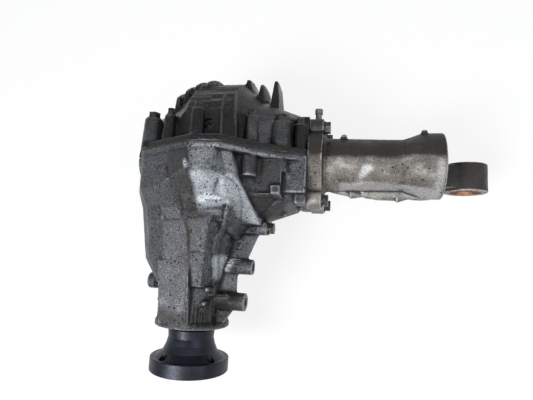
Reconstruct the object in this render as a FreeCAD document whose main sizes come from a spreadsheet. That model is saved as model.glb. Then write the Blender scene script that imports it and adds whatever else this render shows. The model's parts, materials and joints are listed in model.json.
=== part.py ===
import FreeCAD, Part
import math
import os
import re
import Sketcher
from FreeCAD import Placement, Rotation, Vector

# Front differential of a four wheel drive vehicle, in millimetres.
# X runs along the axle shafts towards the long axle tube, Y runs forwards and Z runs up.
# The origin is the middle of the left output opening, on the axle axis. The pinion axis
# crosses the axle axis at pinion_x, and the lengths below are measured from that crossing.

doc = FreeCAD.newDocument("front_differential")
sheet = doc.addObject("Spreadsheet::Sheet", "sizes")

SIZES = dict(
    pinion_x=80,            # left output opening to the pinion axis
    run_gap=0.03,           # radial clearance of a running fit
    bolt_play=0.5,          # radial clearance of a bolt in its hole

    # ring gear and pinion, straight toothed on crossing axes
    ring_teeth=41,
    pinion_teeth=11,
    ring_pitch_r=86,
    ring_face=26,
    ring_back=44,           # mounting face of the ring gear
    ring_seat=2,            # radius of the ring gear's seat beyond the carrier's wall
    ring_lip=1.2,           # rim outside the tooth root
    pinion_addendum=4.9,
    ring_addendum=2.4,
    root_play=1.1,
    tooth_ledge=0.5,        # root surface beyond each end of the teeth
    thick_shift=0.3,        # what each pinion flank gains and each ring flank gives up
    backlash=0.4,
    pressure_angle=20,

    # side gears and spider gears inside the carrier
    side_teeth=16,
    spider_teeth=10,
    side_pitch_r=30,
    side_face=11,
    side_addendum=2.9,
    spider_addendum=3.1,
    side_back=31,
    side_hub_r=19,
    side_hub_end=50,
    side_front=12,
    spline_r=13.5,
    spider_wall=10.5,       # carrier left behind the spider gears
    washer_thick=1,
    washer_play=0.3,        # on both faces of the washers behind the spider gears
    cross_pin_r=8,
    lock_pin_r=2,
    lock_pin_in=8,          # its depth under the carrier's rim
    lock_pin_past=14,       # how far it reaches past the cross pin's middle
    lock_pin_sunk=3,

    # carrier
    carrier_r=50,
    carrier_end=44,
    cavity_r=33,
    carrier_flange=10,
    ring_seat_long=16,
    ring_bolt_out=13,       # the bolt circle outside the carrier's wall
    flange_rim=11,          # the flange outside the bolt circle
    carrier_shoulder_r=28,
    carrier_shoulder=3,
    carrier_bore_r=16,
    window_x=44,
    window_z=46,
    ring_bolt_count=10,
    ring_bolt_r=5,
    ring_bolt_depth=9,
    ring_bolt_head=5,
    ring_collar_r=8.2,

    # taper roller bearings of the carrier
    side_seat_r=22.5,
    side_cup_r=37.5,
    side_width=19,
    side_cup_from=3,
    side_roller_from=4.3,
    side_roller_length=12,
    side_roller_big=3.9,
    side_roller_small=3.5,
    side_lean_big=31.3,
    side_lean_small=28.5,
    side_rollers=17,
    shim_thick=5,
    roller_end_play=0.2,

    # head bearing of the pinion
    head_from=92,
    head_seat_r=17.5,
    head_cup_r=37,
    head_width=25,
    head_cup_from=4,
    head_roller_from=5.3,
    head_roller_length=16,
    head_roller_big=5.4,
    head_roller_small=4.8,
    head_lean_big=29.2,
    head_lean_small=25,
    head_rollers=13,

    # tail bearing of the pinion
    tail_end=195,
    tail_seat_r=15,
    tail_cup_r=31,
    tail_width=19,
    tail_cup_from=3,
    tail_roller_from=4.3,
    tail_roller_length=11.5,
    tail_roller_big=3.8,
    tail_roller_small=3.4,
    tail_lean_big=24.6,
    tail_lean_small=21.8,
    tail_rollers=14,

    # pinion shaft and what it carries
    pinion_neck_r=24,
    crush_r=20.5,
    crush_bulge=2,
    hub_r=21,
    pinion_spline_r=13,
    thread_r=10,
    washer_r=19,
    washer_deep=3,
    nut_across=30,
    nut_tall=15,
    thread_over=3,

    # companion flange
    flange_r=50,
    flange_face=268,
    flange_thick=17,
    flange_root_in=6,       # the flange's back starts to narrow this far inside its rim
    flange_throat_r=29,
    hub_over=5,             # the hub runs this far past the neck before it opens out
    throat_rise=10,         # from there to the throat
    seat_over=11,           # from the throat to the seat of the nut's washer
    flange_recess_r=25,
    flange_hole_r=5.25,
    flange_hole_circle_r=41,
    flange_hole_turn=30,
    deflector_r=29,
    deflector_thick=1.6,

    # carrier housing casting
    wall=7,
    cap_wall=8.5,           # around the left bearing
    joint_gap=0.5,          # sealant between the two halves
    case_lip=6,
    cover_lip=8,
    lip_margin=11,          # rim of the joint outside the bolt centres
    lip_step=1.5,           # the rim's step over the wall behind it
    dome_margin=4,          # dome side inside the bolt centres
    left_end=80,
    hub_outer_r=33,
    hub_deep=9,
    cap_deep=11,            # from the left end to the cap around the left bearing
    cone_from=26, cone_from_r=61,
    cone_mid_x=-24, cone_mid_r=76,
    dome_lead=14, dome_lead_r=90,
    dome_trail=10, dome_trail_r=92,
    neck_d_r=80,            # radius of the right end at bolt d
    neck_e_r=73, neck_e_back=14,
    tube_end_r=57,
    seal_r=27,
    seal_thick=9,
    seal_lip_r=20,
    dome_r=103,
    dome_left=10,
    dome_right=62,
    chamber_r=93,
    chamber_left=12,
    chamber_right=64,
    chamber_slope=7,
    chamber_lead=11,
    cup_over=4,             # where the bearing seats open into the chamber
    cup_rim=9,
    carrier_room=6,         # free space around the carrier's wall
    right_bore_r=31,
    tube_face=146,
    pad_thick=13, pad_back=56, pad_front=53,
    neck_r=45.3,
    neck_end=212,
    bead_r=47.5,
    bead_wide=6,
    head_room_r=39,
    web_r=29,
    tail_web_r=25,
    oil_room_r=33,
    foot_level=122,         # height of the axle axis above the feet
    foot_left_x=22,
    foot_right_x=100,
    foot_thick=10,
    foot_pad=24,
    foot_back_left=92,
    foot_back_right=44,
    foot_front=62,

    # shoulders, neck panel and shelf of the case
    shoulder_top_x=67, shoulder_top_z=104,
    shoulder_mid_x=75, shoulder_mid_z=88,
    shoulder_end_x=92, shoulder_end_z=42,
    shoulder_mid=32, shoulder_end=82,       # how far behind the joint they break and end
    shoulder_rise=9,        # from a shoulder's outer edge to its crest
    panel_left=26, panel_right=13,
    panel_top=47,
    panel_end=206,
    shelf_from=119, shelf_back=44, shelf_top=54,
    side_wall_from=93, side_wall_back=49, side_wall_top=64,

    # hollow of the cover beside the right bearing
    pocket_past=3, pocket_wall=16, pocket_half=26,

    # joint bolts, x from the pinion axis and z from the axle axis
    bolt_a_x=-42, bolt_a_z=70,
    bolt_b_x=-13, bolt_b_z=84,
    bolt_c_x=30, bolt_c_z=106,
    bolt_d_x=84, bolt_d_z=76,
    bolt_e_x=116, bolt_e_z=55,
    bolt_f_x=136, bolt_f_z=44,
    corner_left_x=-62, corner_left_z=36,
    corner_top_x=56, corner_top_z=105,
    joint_bolt_r=4,
    joint_bolt_reach=18,    # length of thread in the case
    column_over=3,          # casting past the end of the thread
    long_column=30,         # the post behind bolt d
    boss_top=40,
    boss_r=7,
    big_boss_r=10.8,
    boss_taper=2,           # what a boss gains in radius down to the joint
    column_r=8.5,
    bolt_across=13,
    bolt_head=6.5,
    bolt_collar=1.5,
    big_collar_r=8.5,
    small_across=8,
    small_collar_r=5.2,
    dowel_r=5,
    dowel_half=7,
    fin_tip=2,              # half the thickness of a fin at its edge
    fin_drop=26,            # how far below its edge a fin has its full root

    # cooling fins of the cover: place, radius about the axle axis, reach to either side and half
    # the thickness at the root
    fin_a_x=-17, fin_a_r=94, fin_a_reach=62, fin_a_root=6,
    fin_b_x=-4, fin_b_r=102, fin_b_reach=66, fin_b_root=6,
    fin_c_x=9, fin_c_r=107, fin_c_reach=66, fin_c_root=6,
    fin_d_x=22, fin_d_r=109, fin_d_reach=60, fin_d_root=6,
    fin_e_x=65, fin_e_r=109, fin_e_reach=34, fin_e_root=10,
    fin_f_x=82, fin_f_r=103, fin_f_reach=30, fin_f_root=7,
    fin_g_x=98, fin_g_r=109, fin_g_reach=20, fin_g_root=5.5,

    # bosses on the sides of the case
    upper_boss_y=134, upper_boss_z=18, upper_boss_end=82, upper_boss_r=9.5,
    lower_boss_y=177, lower_boss_z=18, lower_boss_end=75, lower_boss_r=11,
    left_boss_y=160, left_boss_end=64, left_boss_r=10.5,
    plug_boss_y=85, plug_boss_z=20, plug_boss_end=98, plug_boss_r=9,
    side_thread_r=5,
    side_thread_deep=22,
    web_thick=6,
    web_hole_r=4.5,
    web_hole_x=62, web_hole_y=108.5,
    boss_root_x=30,         # where the side bosses start inside the casting

    # oil plugs and breather
    plug_r=9,
    plug_deep=12,
    plug_head_r=13,
    plug_head=5,
    plug_boss_thick=4,
    plug_socket=10,
    fill_plug_x=20, fill_plug_z=-45,
    fill_seat=98,
    drain_plug_x=30, drain_plug_y=-56,
    breather_r=4,
    breather_cap_r=5,
    breather_tall=15,
    breather_x=154.5, breather_z=10,
    breather_boss_r=8.5,
    breather_boss_top=54.5,
    drain_seat=101,

    # axle tube
    tube_flange=17,
    tube_flange_r=49,
    tube_lobe_r=11,
    tube_bolt_up=41,
    tube_bolt_down=49,
    tube_bolt_z=27,
    tube_bolt_r=5,
    tube_bolt_reach=20,
    tube_r=34,
    tube_waist_r=32,
    tube_bore_r=26,
    bell_from=258,
    bell_r=40,
    bell_start=280,
    tube_end=303,
    spigot=6,
    oring_wide=3,
    oring_deep=3,
    oring_from=1.5,         # groove to the tube's flange face
    end_bearing_from=268,
    end_bearing_wide=14,
    end_bearing_r=31,
    end_seat_r=17.5,
    ball_r=4.5,
    ball_circle_r=24.25,
    ball_count=9,
    end_seal_thick=9,
    snap_thick=2,
    snap_bite=2,
    circlip_thick=1.6,
    circlip_deep=1.5,
    shaft_r=15,
    shaft_spline_from=9.6,
    shaft_spline_end=51,
    drive_bore_r=12,
    drive_bore_deep=30,

    # bush eye
    eye_x=341,
    eye_y=-7,
    tube_rib_half=4,        # half the thickness of the rib under the tube
    tube_rib_from=20,       # from the tube's flange to the rib's start
    tube_rib_full=50,       # and to its full depth
    eye_z=-45,
    eye_r=26.5,
    eye_long=36,
    eye_arm_thick=30,
    bush_r=21.5,
    bush_shell=2,
    bush_sleeve_r=9,
    bush_bore_r=6.2,
    bush_sleeve_over=2,
    bush_rubber_set=1,
)

# Sections of the pinion housing: distance behind the axle axis, then its reach to the left,
# to the right and up. The first value of each name is the section nearest the axle.
SECTIONS = dict(
    at=(0, 28, 68, 95, 130, 160),
    left=(73, 72, 69, 66, 62, 45),
    right=(90, 86, 72, 60, 52, 42),
    tall=(116, 114.5, 74, 68, 61, 49),
)

for row, (name, number) in enumerate(SIZES.items(), 1):
    sheet.set(f"A{row}", name)
    sheet.set(f"B{row}", str(number))
    sheet.setAlias(f"B{row}", name)
row = len(SIZES)
for name, numbers in SECTIONS.items():
    for place, number in zip("abcdef", numbers):
        row += 1
        sheet.set(f"A{row}", f"section_{name}_{place}")
        sheet.set(f"B{row}", str(number))
        sheet.setAlias(f"B{row}", f"section_{name}_{place}")
doc.recompute()

built = {}


def bound(text):
    """The expression with every size pointed at the sheet."""
    return re.sub(r"\b[a-z][a-z_]*\b(?!\()", lambda found: "sizes." + found.group(0), str(text))


def mm(text):
    """The present value of an expression of sizes."""
    found = sheet.evalExpression(bound(text))
    return float(getattr(found, "Value", found))


RING_BOLTS = "(carrier_r + ring_bolt_out)"
FLANGE_THROAT = "(neck_end + hub_over + throat_rise)"
NUT_SEAT = "(neck_end + hub_over + throat_rise + seat_over)"

# Each frame has its origin where the two axes cross, and its own Z along a shaft.
RIGHTWARDS = Rotation(Vector(0, 1, 0), 90)
LEFTWARDS = Rotation(Vector(0, 1, 0), -90)
BACKWARDS = Rotation(Vector(1, 0, 0), 90)
UPRIGHT = Rotation()


def keep(label, item, rotation=UPRIGHT, x="0", y="0", z="0"):
    """Gives a finished piece its name and its place from the crossing of the axes."""
    item.Label = label
    item.Placement = Placement(Vector(mm(f"pinion_x + {x}"), mm(y), mm(z)), rotation)
    item.setExpression("Placement.Base.x", bound(f"pinion_x + {x}"))
    item.setExpression("Placement.Base.y", bound(y))
    item.setExpression("Placement.Base.z", bound(z))
    built[label] = item
    return item


def turned(name, profile):
    """A body turned about its own Z axis from (along, radius) corners given as expressions."""
    body = doc.addObject("PartDesign::Body", name + "_body")
    sketch = body.newObject("Sketcher::SketchObject", name + "_profile")
    plane = next(item for item in body.Origin.OriginFeatures if item.Role == "XZ_Plane")
    sketch.AttachmentSupport = [(plane, "")]
    sketch.MapMode = "FlatFace"
    corners = [Vector(mm(radius), mm(along), 0) for along, radius in profile]
    count = len(corners)
    for start, end in zip(corners, corners[1:] + corners[:1]):
        sketch.addGeometry(Part.LineSegment(start, end))
    for i in range(count):
        sketch.addConstraint(Sketcher.Constraint("Coincident", i, 2, (i + 1) % count, 1))
    for i, (along, radius) in enumerate(profile):
        for kind, axis, text, held in (("DistanceX", -2, radius, corners[i].x),
                                       ("DistanceY", -1, along, corners[i].y)):
            if text == "0":
                sketch.addConstraint(Sketcher.Constraint("PointOnObject", i, 1, axis))
                continue
            number = sketch.addConstraint(Sketcher.Constraint(kind, -1, 1, i, 1, held))
            sketch.setExpression(f"Constraints[{number}]", bound(text))
    turn = body.newObject("PartDesign::Revolution", name + "_turn")
    turn.Profile = sketch
    turn.ReferenceAxis = (sketch, ["V_Axis"])
    turn.Angle = 360
    return body


def ring(name, start, length, inner, outer):
    """A plain turned ring."""
    end = f"{start} + {length}"
    return turned(name, [(start, inner), (end, inner), (end, outer), (start, outer)])


def rod(name, radius, length, rotation=UPRIGHT, x="0", y="0", z="0"):
    """A cylinder whose sizes and place follow the sheet."""
    item = doc.addObject("Part::Cylinder", name)
    item.setExpression("Radius", bound(radius))
    item.setExpression("Height", bound(length))
    item.Placement = Placement(Vector(mm(x), mm(y), mm(z)), rotation)
    for axis, text in zip("xyz", (x, y, z)):
        item.setExpression("Placement.Base." + axis, bound(text))
    return item


def cut(name, base, tools):
    """The base with the tools taken away."""
    tool = tools[0]
    if len(tools) > 1:
        tool = doc.addObject("Part::MultiFuse", name + "_tools")
        tool.Shapes = tools
    item = doc.addObject("Part::Cut", name)
    item.Base = base
    item.Tool = tool
    return item


def feature(name, shape):
    """A piece whose shape is worked out here from the sizes."""
    item = doc.addObject("Part::Feature", name)
    item.Shape = shape
    return item


def revolved(corners, axis=Vector(0, 0, 1)):
    """A solid turned about an axis from (along, radius) corners in millimetres."""
    side = Vector(1, 0, 0) if abs(axis.x) < 0.5 else Vector(0, 1, 0)
    points = [axis * along + side * radius for along, radius in corners]
    return Part.Face(Part.makePolygon(points + points[:1])).revolve(Vector(), axis, 360)


def cylinder(radius, start, direction, length):
    return Part.makeCylinder(radius, length, Vector(*start), Vector(*direction))


def block(x_range, y_range, z_range):
    low = Vector(x_range[0], y_range[0], z_range[0])
    return Part.makeBox(x_range[1] - x_range[0], y_range[1] - y_range[0],
                        z_range[1] - z_range[0], low)


def hexagon(across, start, direction, height):
    """A hexagonal prism, given across its flats."""
    reach = across / math.sqrt(3)
    points = [Vector(reach * math.cos(math.radians(60 * i)), reach * math.sin(math.radians(60 * i)), 0)
              for i in range(7)]
    prism = Part.Face(Part.makePolygon(points)).extrude(Vector(0, 0, height))
    prism.Placement = Placement(Vector(*start), Rotation(Vector(0, 0, 1), Vector(*direction)))
    return prism


def hex_bolt(start, direction, length, radius, across, head, collar, collar_r):
    """A flanged bolt: its collar sits on the start point and its head points along direction."""
    way = Vector(*direction)
    seat = Vector(*start)
    shank = Part.makeCylinder(radius, length, seat - way * length, way)
    flange = Part.makeCylinder(collar_r, collar, seat, way)
    top = hexagon(across, seat + way * collar, way, head)
    return shank.fuse([flange, top]).removeSplitter()


# Bevel gears

def involute(angle):
    return math.tan(angle) - angle


def bevel_teeth(teeth, mate_teeth, pitch_r, face, addendum, dedendum, shift, turn):
    """Straight bevel teeth about Z with the cone tip at the origin, one at the angle turn."""
    cone = math.atan2(teeth, mate_teeth)
    reach = pitch_r / math.sin(cone)
    spur_r = pitch_r / math.cos(cone)
    base_r = spur_r * math.cos(math.radians(mm("pressure_angle")))
    half = math.pi * pitch_r / teeth / 2 + shift - mm("backlash") / 4
    sunk = dedendum + 1.0
    flank = []
    for step in range(5):
        rise = -dedendum + (addendum + dedendum) * step / 4
        radius = max(spur_r + rise, base_r)
        turn_in = involute(math.acos(base_r / radius)) - involute(math.acos(base_r / spur_r))
        flank.append((rise, (half / spur_r - turn_in) / math.cos(cone)))
    flank.insert(0, (-sunk, flank[0][1]))

    middle = Vector(math.sin(cone), 0, math.cos(cone))

    def corner(rise, swing, share):
        # The point slides along its line to the cone tip until it lies in the tooth's end face.
        radial = pitch_r + rise * math.cos(cone)
        along = reach * math.cos(cone) - rise * math.sin(cone)
        point = Vector(radial * math.cos(swing), radial * math.sin(swing), along)
        return point * (share * reach / point.dot(middle))

    wires = []
    for share in (1.0, 1.0 - face / reach):
        points = [corner(rise, -swing, share) for rise, swing in flank]
        points += [corner(rise, swing, share) for rise, swing in reversed(flank)]
        wires.append(Part.makePolygon(points + points[:1]))
    tooth = Part.makeLoft(wires, True, True)
    rows = []
    for i in range(teeth):
        copy = tooth.copy()
        copy.rotate(Vector(), Vector(0, 0, 1), turn + 360.0 * i / teeth)
        rows.append(copy)
    return rows, cone, reach


def root_line(pitch_r, cone, reach, face, dedendum):
    """The (along, radius) ends of the tooth root, outer end first, a small ledge past the teeth."""
    along = reach * math.cos(cone) + dedendum * math.sin(cone)
    radius = pitch_r - dedendum * math.cos(cone)
    ledge = mm("tooth_ledge")
    outer = 1.0 + ledge / reach
    inner = 1.0 - (face + ledge) / reach
    return (along * outer, radius * outer), (along * inner, radius * inner)


def make_ring_gear():
    dedendum = mm("pinion_addendum + root_play")
    pitch_r, face = mm("ring_pitch_r"), mm("ring_face")
    teeth, cone, reach = bevel_teeth(int(mm("ring_teeth")), int(mm("pinion_teeth")), pitch_r, face,
                                     mm("ring_addendum"), dedendum, -mm("thick_shift"), -90)
    outer, inner = root_line(pitch_r, cone, reach, face, dedendum)
    back, bore, rim = mm("ring_back"), mm("carrier_r + ring_seat"), mm("ring_pitch_r + ring_lip")
    blank = revolved([outer, inner, (inner[0] + 2, bore), (back, bore), (back, rim), (outer[0] + 2, rim)])
    gear = blank.fuse(teeth)
    depth = mm("ring_bolt_depth")
    for place in bolt_ring("ring_bolt_count", RING_BOLTS):
        hole = cylinder(mm("ring_bolt_r"), (place.x, place.y, back - depth), (0, 0, 1), depth + 1)
        gear = gear.cut(hole)
    keep("ring_gear", feature("ring_gear_shape", gear), RIGHTWARDS)


def bolt_ring(count, radius):
    """Places spread evenly on a circle about Z."""
    number = int(mm(count))
    turns = [2 * math.pi * (i + 0.5) / number for i in range(number)]
    return [Vector(mm(radius) * math.cos(a), mm(radius) * math.sin(a), 0) for a in turns]


def make_pinion():
    """The pinion gear and its shaft in one piece."""
    dedendum = mm("ring_addendum + root_play")
    pinions, rings = int(mm("pinion_teeth")), int(mm("ring_teeth"))
    pitch_r = mm("ring_pitch_r") * pinions / rings
    face = mm("ring_face")
    teeth, cone, reach = bevel_teeth(pinions, rings, pitch_r, face, mm("pinion_addendum"), dedendum,
                                     mm("thick_shift"), 180.0 / pinions)
    outer, inner = root_line(pitch_r, cone, reach, face, dedendum)
    head, seat, tail = mm("head_from"), mm("head_seat_r"), mm("tail_seat_r")
    step = mm("tail_end - tail_width")
    spline, thread = mm("pinion_spline_r"), mm("thread_r")
    nut_end = mm(NUT_SEAT + " + washer_deep + nut_tall + thread_over")
    shaft = revolved([(inner[0], 0), inner, outer, (outer[0] + 2, mm("pinion_neck_r")),
                      (head, mm("pinion_neck_r")), (head, seat), (step - 2, seat), (step - 2, tail),
                      (mm("tail_end"), tail), (mm("tail_end"), spline),
                      (mm(NUT_SEAT), spline), (mm(NUT_SEAT), thread), (nut_end, thread),
                      (nut_end, 0)])
    keep("pinion_shaft", feature("pinion_shaft_shape", shaft.fuse(teeth)), BACKWARDS)


def make_side_gear(label, rotation):
    dedendum = mm("spider_addendum + root_play")
    pitch_r, face = mm("side_pitch_r"), mm("side_face")
    teeth, cone, reach = bevel_teeth(int(mm("side_teeth")), int(mm("spider_teeth")), pitch_r, face,
                                     mm("side_addendum"), dedendum, 0, 0)
    outer, inner = root_line(pitch_r, cone, reach, face, dedendum)
    back, hub, bore = mm("side_back"), mm("side_hub_r"), mm("spline_r + run_gap")
    blank = revolved([(mm("side_front"), bore), (mm("side_front"), inner[1] - 1), inner, outer,
                      (outer[0] + 1, outer[1] + 1), (back, outer[1] - 2), (back, hub),
                      (mm("side_hub_end"), hub), (mm("side_hub_end"), bore)])
    keep(label, feature(label + "_shape", blank.fuse(teeth)), rotation)


def make_spider_gear(label, way):
    """A spider gear about the upright cross pin, above the axle axis or below it."""
    dedendum = mm("side_addendum + root_play")
    spiders, sides = int(mm("spider_teeth")), int(mm("side_teeth"))
    pitch_r, face = mm("side_pitch_r") * spiders / sides, mm("side_face")
    teeth, cone, reach = bevel_teeth(spiders, sides, pitch_r, face, mm("spider_addendum"), dedendum,
                                     0, 180.0 / spiders)
    outer, inner = root_line(pitch_r, cone, reach, face, dedendum)
    bore = mm("cross_pin_r + run_gap")
    back = mm("carrier_r - spider_wall")
    blank = revolved([(inner[0], bore), inner, outer, (outer[0] + 1, pitch_r), (back, pitch_r), (back, bore)])
    gear = blank.fuse(teeth).common(Part.makeSphere(back))
    keep(label, feature(label + "_shape", gear), Rotation(Vector(1, 0, 0), 0 if way > 0 else 180))


# Bearings

def taper_bearing(kind, names, rotation, start, way):
    """Cone, cup and rollers of a taper roller bearing, its thick end at start.

    way is 1 where the bearing narrows along the frame's own Z, or -1 where it narrows the
    other way.
    """
    cone_name, cup_name, roller_name = names
    sign = "+" if way > 0 else "-"

    def along(text):
        return f"{start} {sign} ({text})"

    slope = f"(({kind}_lean_big - {kind}_lean_small) / {kind}_roller_length)"
    taper = f"(({kind}_roller_big - {kind}_roller_small) / {kind}_roller_length)"
    inward = f"(sqrt(1 + {slope} * {slope}) - {slope} * {taper})"
    outward = f"(sqrt(1 + {slope} * {slope}) + {slope} * {taper})"
    inner_big = f"{kind}_lean_big - ({kind}_roller_big + run_gap) * {inward}"
    inner_small = f"{kind}_lean_small - ({kind}_roller_small + run_gap) * {inward}"
    outer_big = f"{kind}_lean_big + ({kind}_roller_big + run_gap) * {outward}"
    outer_small = f"{kind}_lean_small + ({kind}_roller_small + run_gap) * {outward}"
    first, last = f"{kind}_roller_from", f"({kind}_roller_from + {kind}_roller_length)"
    drop = f"({outer_big} - ({outer_small})) / {kind}_roller_length"
    cone = turned(cone_name, [
        (along("0"), f"{kind}_seat_r"), (along("0"), f"{kind}_lean_big + 1"),
        (along(f"{first} - 1.4"), f"{kind}_lean_big + 0.2"), (along(f"{first} - 1.4"), inner_big),
        (along(first), inner_big), (along(last), inner_small),
        (along(f"{last} + 1.4"), inner_small), (along(f"{last} + 1.4"), f"{inner_small} + 1"),
        (along(f"{kind}_width"), f"{inner_small} + 0.6"), (along(f"{kind}_width"), f"{kind}_seat_r")])
    keep(cone_name, cone, rotation)
    cup = turned(cup_name, [
        (along(f"{kind}_cup_from"), f"{kind}_cup_r"),
        (along(f"{kind}_cup_from"), f"{outer_big} + ({first} - {kind}_cup_from) * {drop}"),
        (along(f"{kind}_width"), f"{outer_small} - ({kind}_width - {last}) * {drop}"),
        (along(f"{kind}_width"), f"{kind}_cup_r")])
    keep(cup_name, cup, rotation)
    share = mm(f"roller_end_play / {kind}_roller_length")
    thick = Vector(mm(f"{kind}_lean_big"), 0, mm(along(first)))
    thin = Vector(mm(f"{kind}_lean_small"), 0, mm(along(last)))
    step = (thin - thick) * share
    trim = mm(f"{kind}_roller_big - {kind}_roller_small") * share
    roller = Part.makeCone(mm(f"{kind}_roller_big") - trim, mm(f"{kind}_roller_small") + trim,
                           (thin - thick - step * 2).Length, thick + step, thin - thick)
    count = int(mm(f"{kind}_rollers"))
    rows = []
    for i in range(count):
        copy = roller.copy()
        copy.rotate(Vector(), Vector(0, 0, 1), 360.0 * i / count)
        rows.append(copy)
    keep(roller_name, feature(roller_name + "_shape", Part.makeCompound(rows)), rotation)


# Casting outlines

BOLTS = [(f"bolt_{letter}_x", f"bolt_{letter}_z") for letter in "abcdef"]
BIG_BOSSES = ("bolt_a_x", "bolt_e_x")


def bolt_places():
    """The joint bolts above the axle axis and below it."""
    above = [(mm(x), mm(z)) for x, z in BOLTS]
    return above + [(x, -z) for x, z in above]


def bolt_sizes():
    """Each joint bolt's boss radius, hexagon and collar radius, in the order of the bolt places."""
    big = (mm("big_boss_r"), mm("bolt_across"), mm("big_collar_r"))
    small = (mm("boss_r"), mm("small_across"), mm("small_collar_r"))
    return [big if x in BIG_BOSSES else small for x, z in BOLTS] * 2


def joint_outline(margin, level):
    """A face of the joint's outline, the bolt polygon widened by a margin, at height level."""
    above = [("corner_left_x", "corner_left_z")] + BOLTS[:3] + [("corner_top_x", "corner_top_z")] + BOLTS[3:]
    points = [(mm(x), mm(z)) for x, z in above]
    points += [(x, -z) for x, z in reversed(points)]
    corners = [Vector(x, level, z) for x, z in points]
    wire = Part.makePolygon(corners + corners[:1])
    return Part.Face(wire.makeOffset2D(margin))


def joint_plate(start, thick, margin):
    """A plate of the joint's outline, cut square where the axle tube meets it."""
    plate = joint_outline(margin, start).extrude(Vector(0, thick, 0))
    return plate.common(block((-400, mm("tube_face")), (-400, 400), (-400, 400)))


def housing_skin():
    """The round outer form of both halves about the axle axis."""
    left, hub = -mm("left_end"), mm("hub_outer_r")
    dome, start, end = mm("dome_r"), mm("dome_left"), mm("dome_right")
    side = mm("side_cup_r + cap_wall")
    face = mm("tube_face")
    skin = revolved([(left, 0), (left, hub), (left + mm("hub_deep"), hub), (left + mm("cap_deep"), side),
                     (left + mm("cone_from"), mm("cone_from_r")), (mm("cone_mid_x"), mm("cone_mid_r")),
                     (start - mm("dome_lead"), mm("dome_lead_r")), (start, dome), (end, dome),
                     (end + mm("dome_trail"), mm("dome_trail_r")), (mm("bolt_d_x"), mm("neck_d_r")),
                     (mm("bolt_e_x - neck_e_back"), mm("neck_e_r")), (face, mm("tube_end_r")), (face, 0)],
                    Vector(1, 0, 0))
    prism = joint_outline(-mm("dome_margin"), -200).extrude(Vector(0, 400, 0))
    ends = block((left, left / 2), (-200, 200), (-side, side))
    tail = block((mm("bolt_f_x"), face), (-200, 200), (-mm("bolt_f_z"), mm("bolt_f_z")))
    return skin.common(prism.fuse([ends, tail]))


def housing_room():
    """The space that both halves leave for the carrier, its bearings, shims and seal."""
    left, seal, cup = -mm("left_end"), mm("seal_r"), mm("side_cup_r")
    seat_out = mm("carrier_end + side_width")
    shim = mm("shim_thick")
    room, chamber = mm("carrier_r + carrier_room"), mm("chamber_r")
    slope = mm("chamber_slope")
    right = mm("carrier_end + carrier_flange + carrier_shoulder")
    start, end = mm("chamber_left"), mm("chamber_right")
    return revolved([
        (left, 0), (left, seal), (left + mm("seal_thick"), seal), (-seat_out - shim, seal),
        (-seat_out - shim, cup), (-mm("carrier_end + cup_over"), cup), (-mm("carrier_end + cup_over"), room),
        (start - slope, room + mm("chamber_lead")),
        (start, chamber), (end - slope, chamber), (end, chamber - slope), (end, cup + mm("cup_rim")),
        (right + mm("cup_over") - 1, cup + mm("cup_rim")),
        (right + mm("cup_over") - 1, cup), (right + mm("side_width") + shim, cup),
        (right + mm("side_width") + shim, mm("right_bore_r")),
        (mm("tube_face"), mm("right_bore_r")), (mm("tube_face"), 0)], Vector(1, 0, 0))


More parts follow.
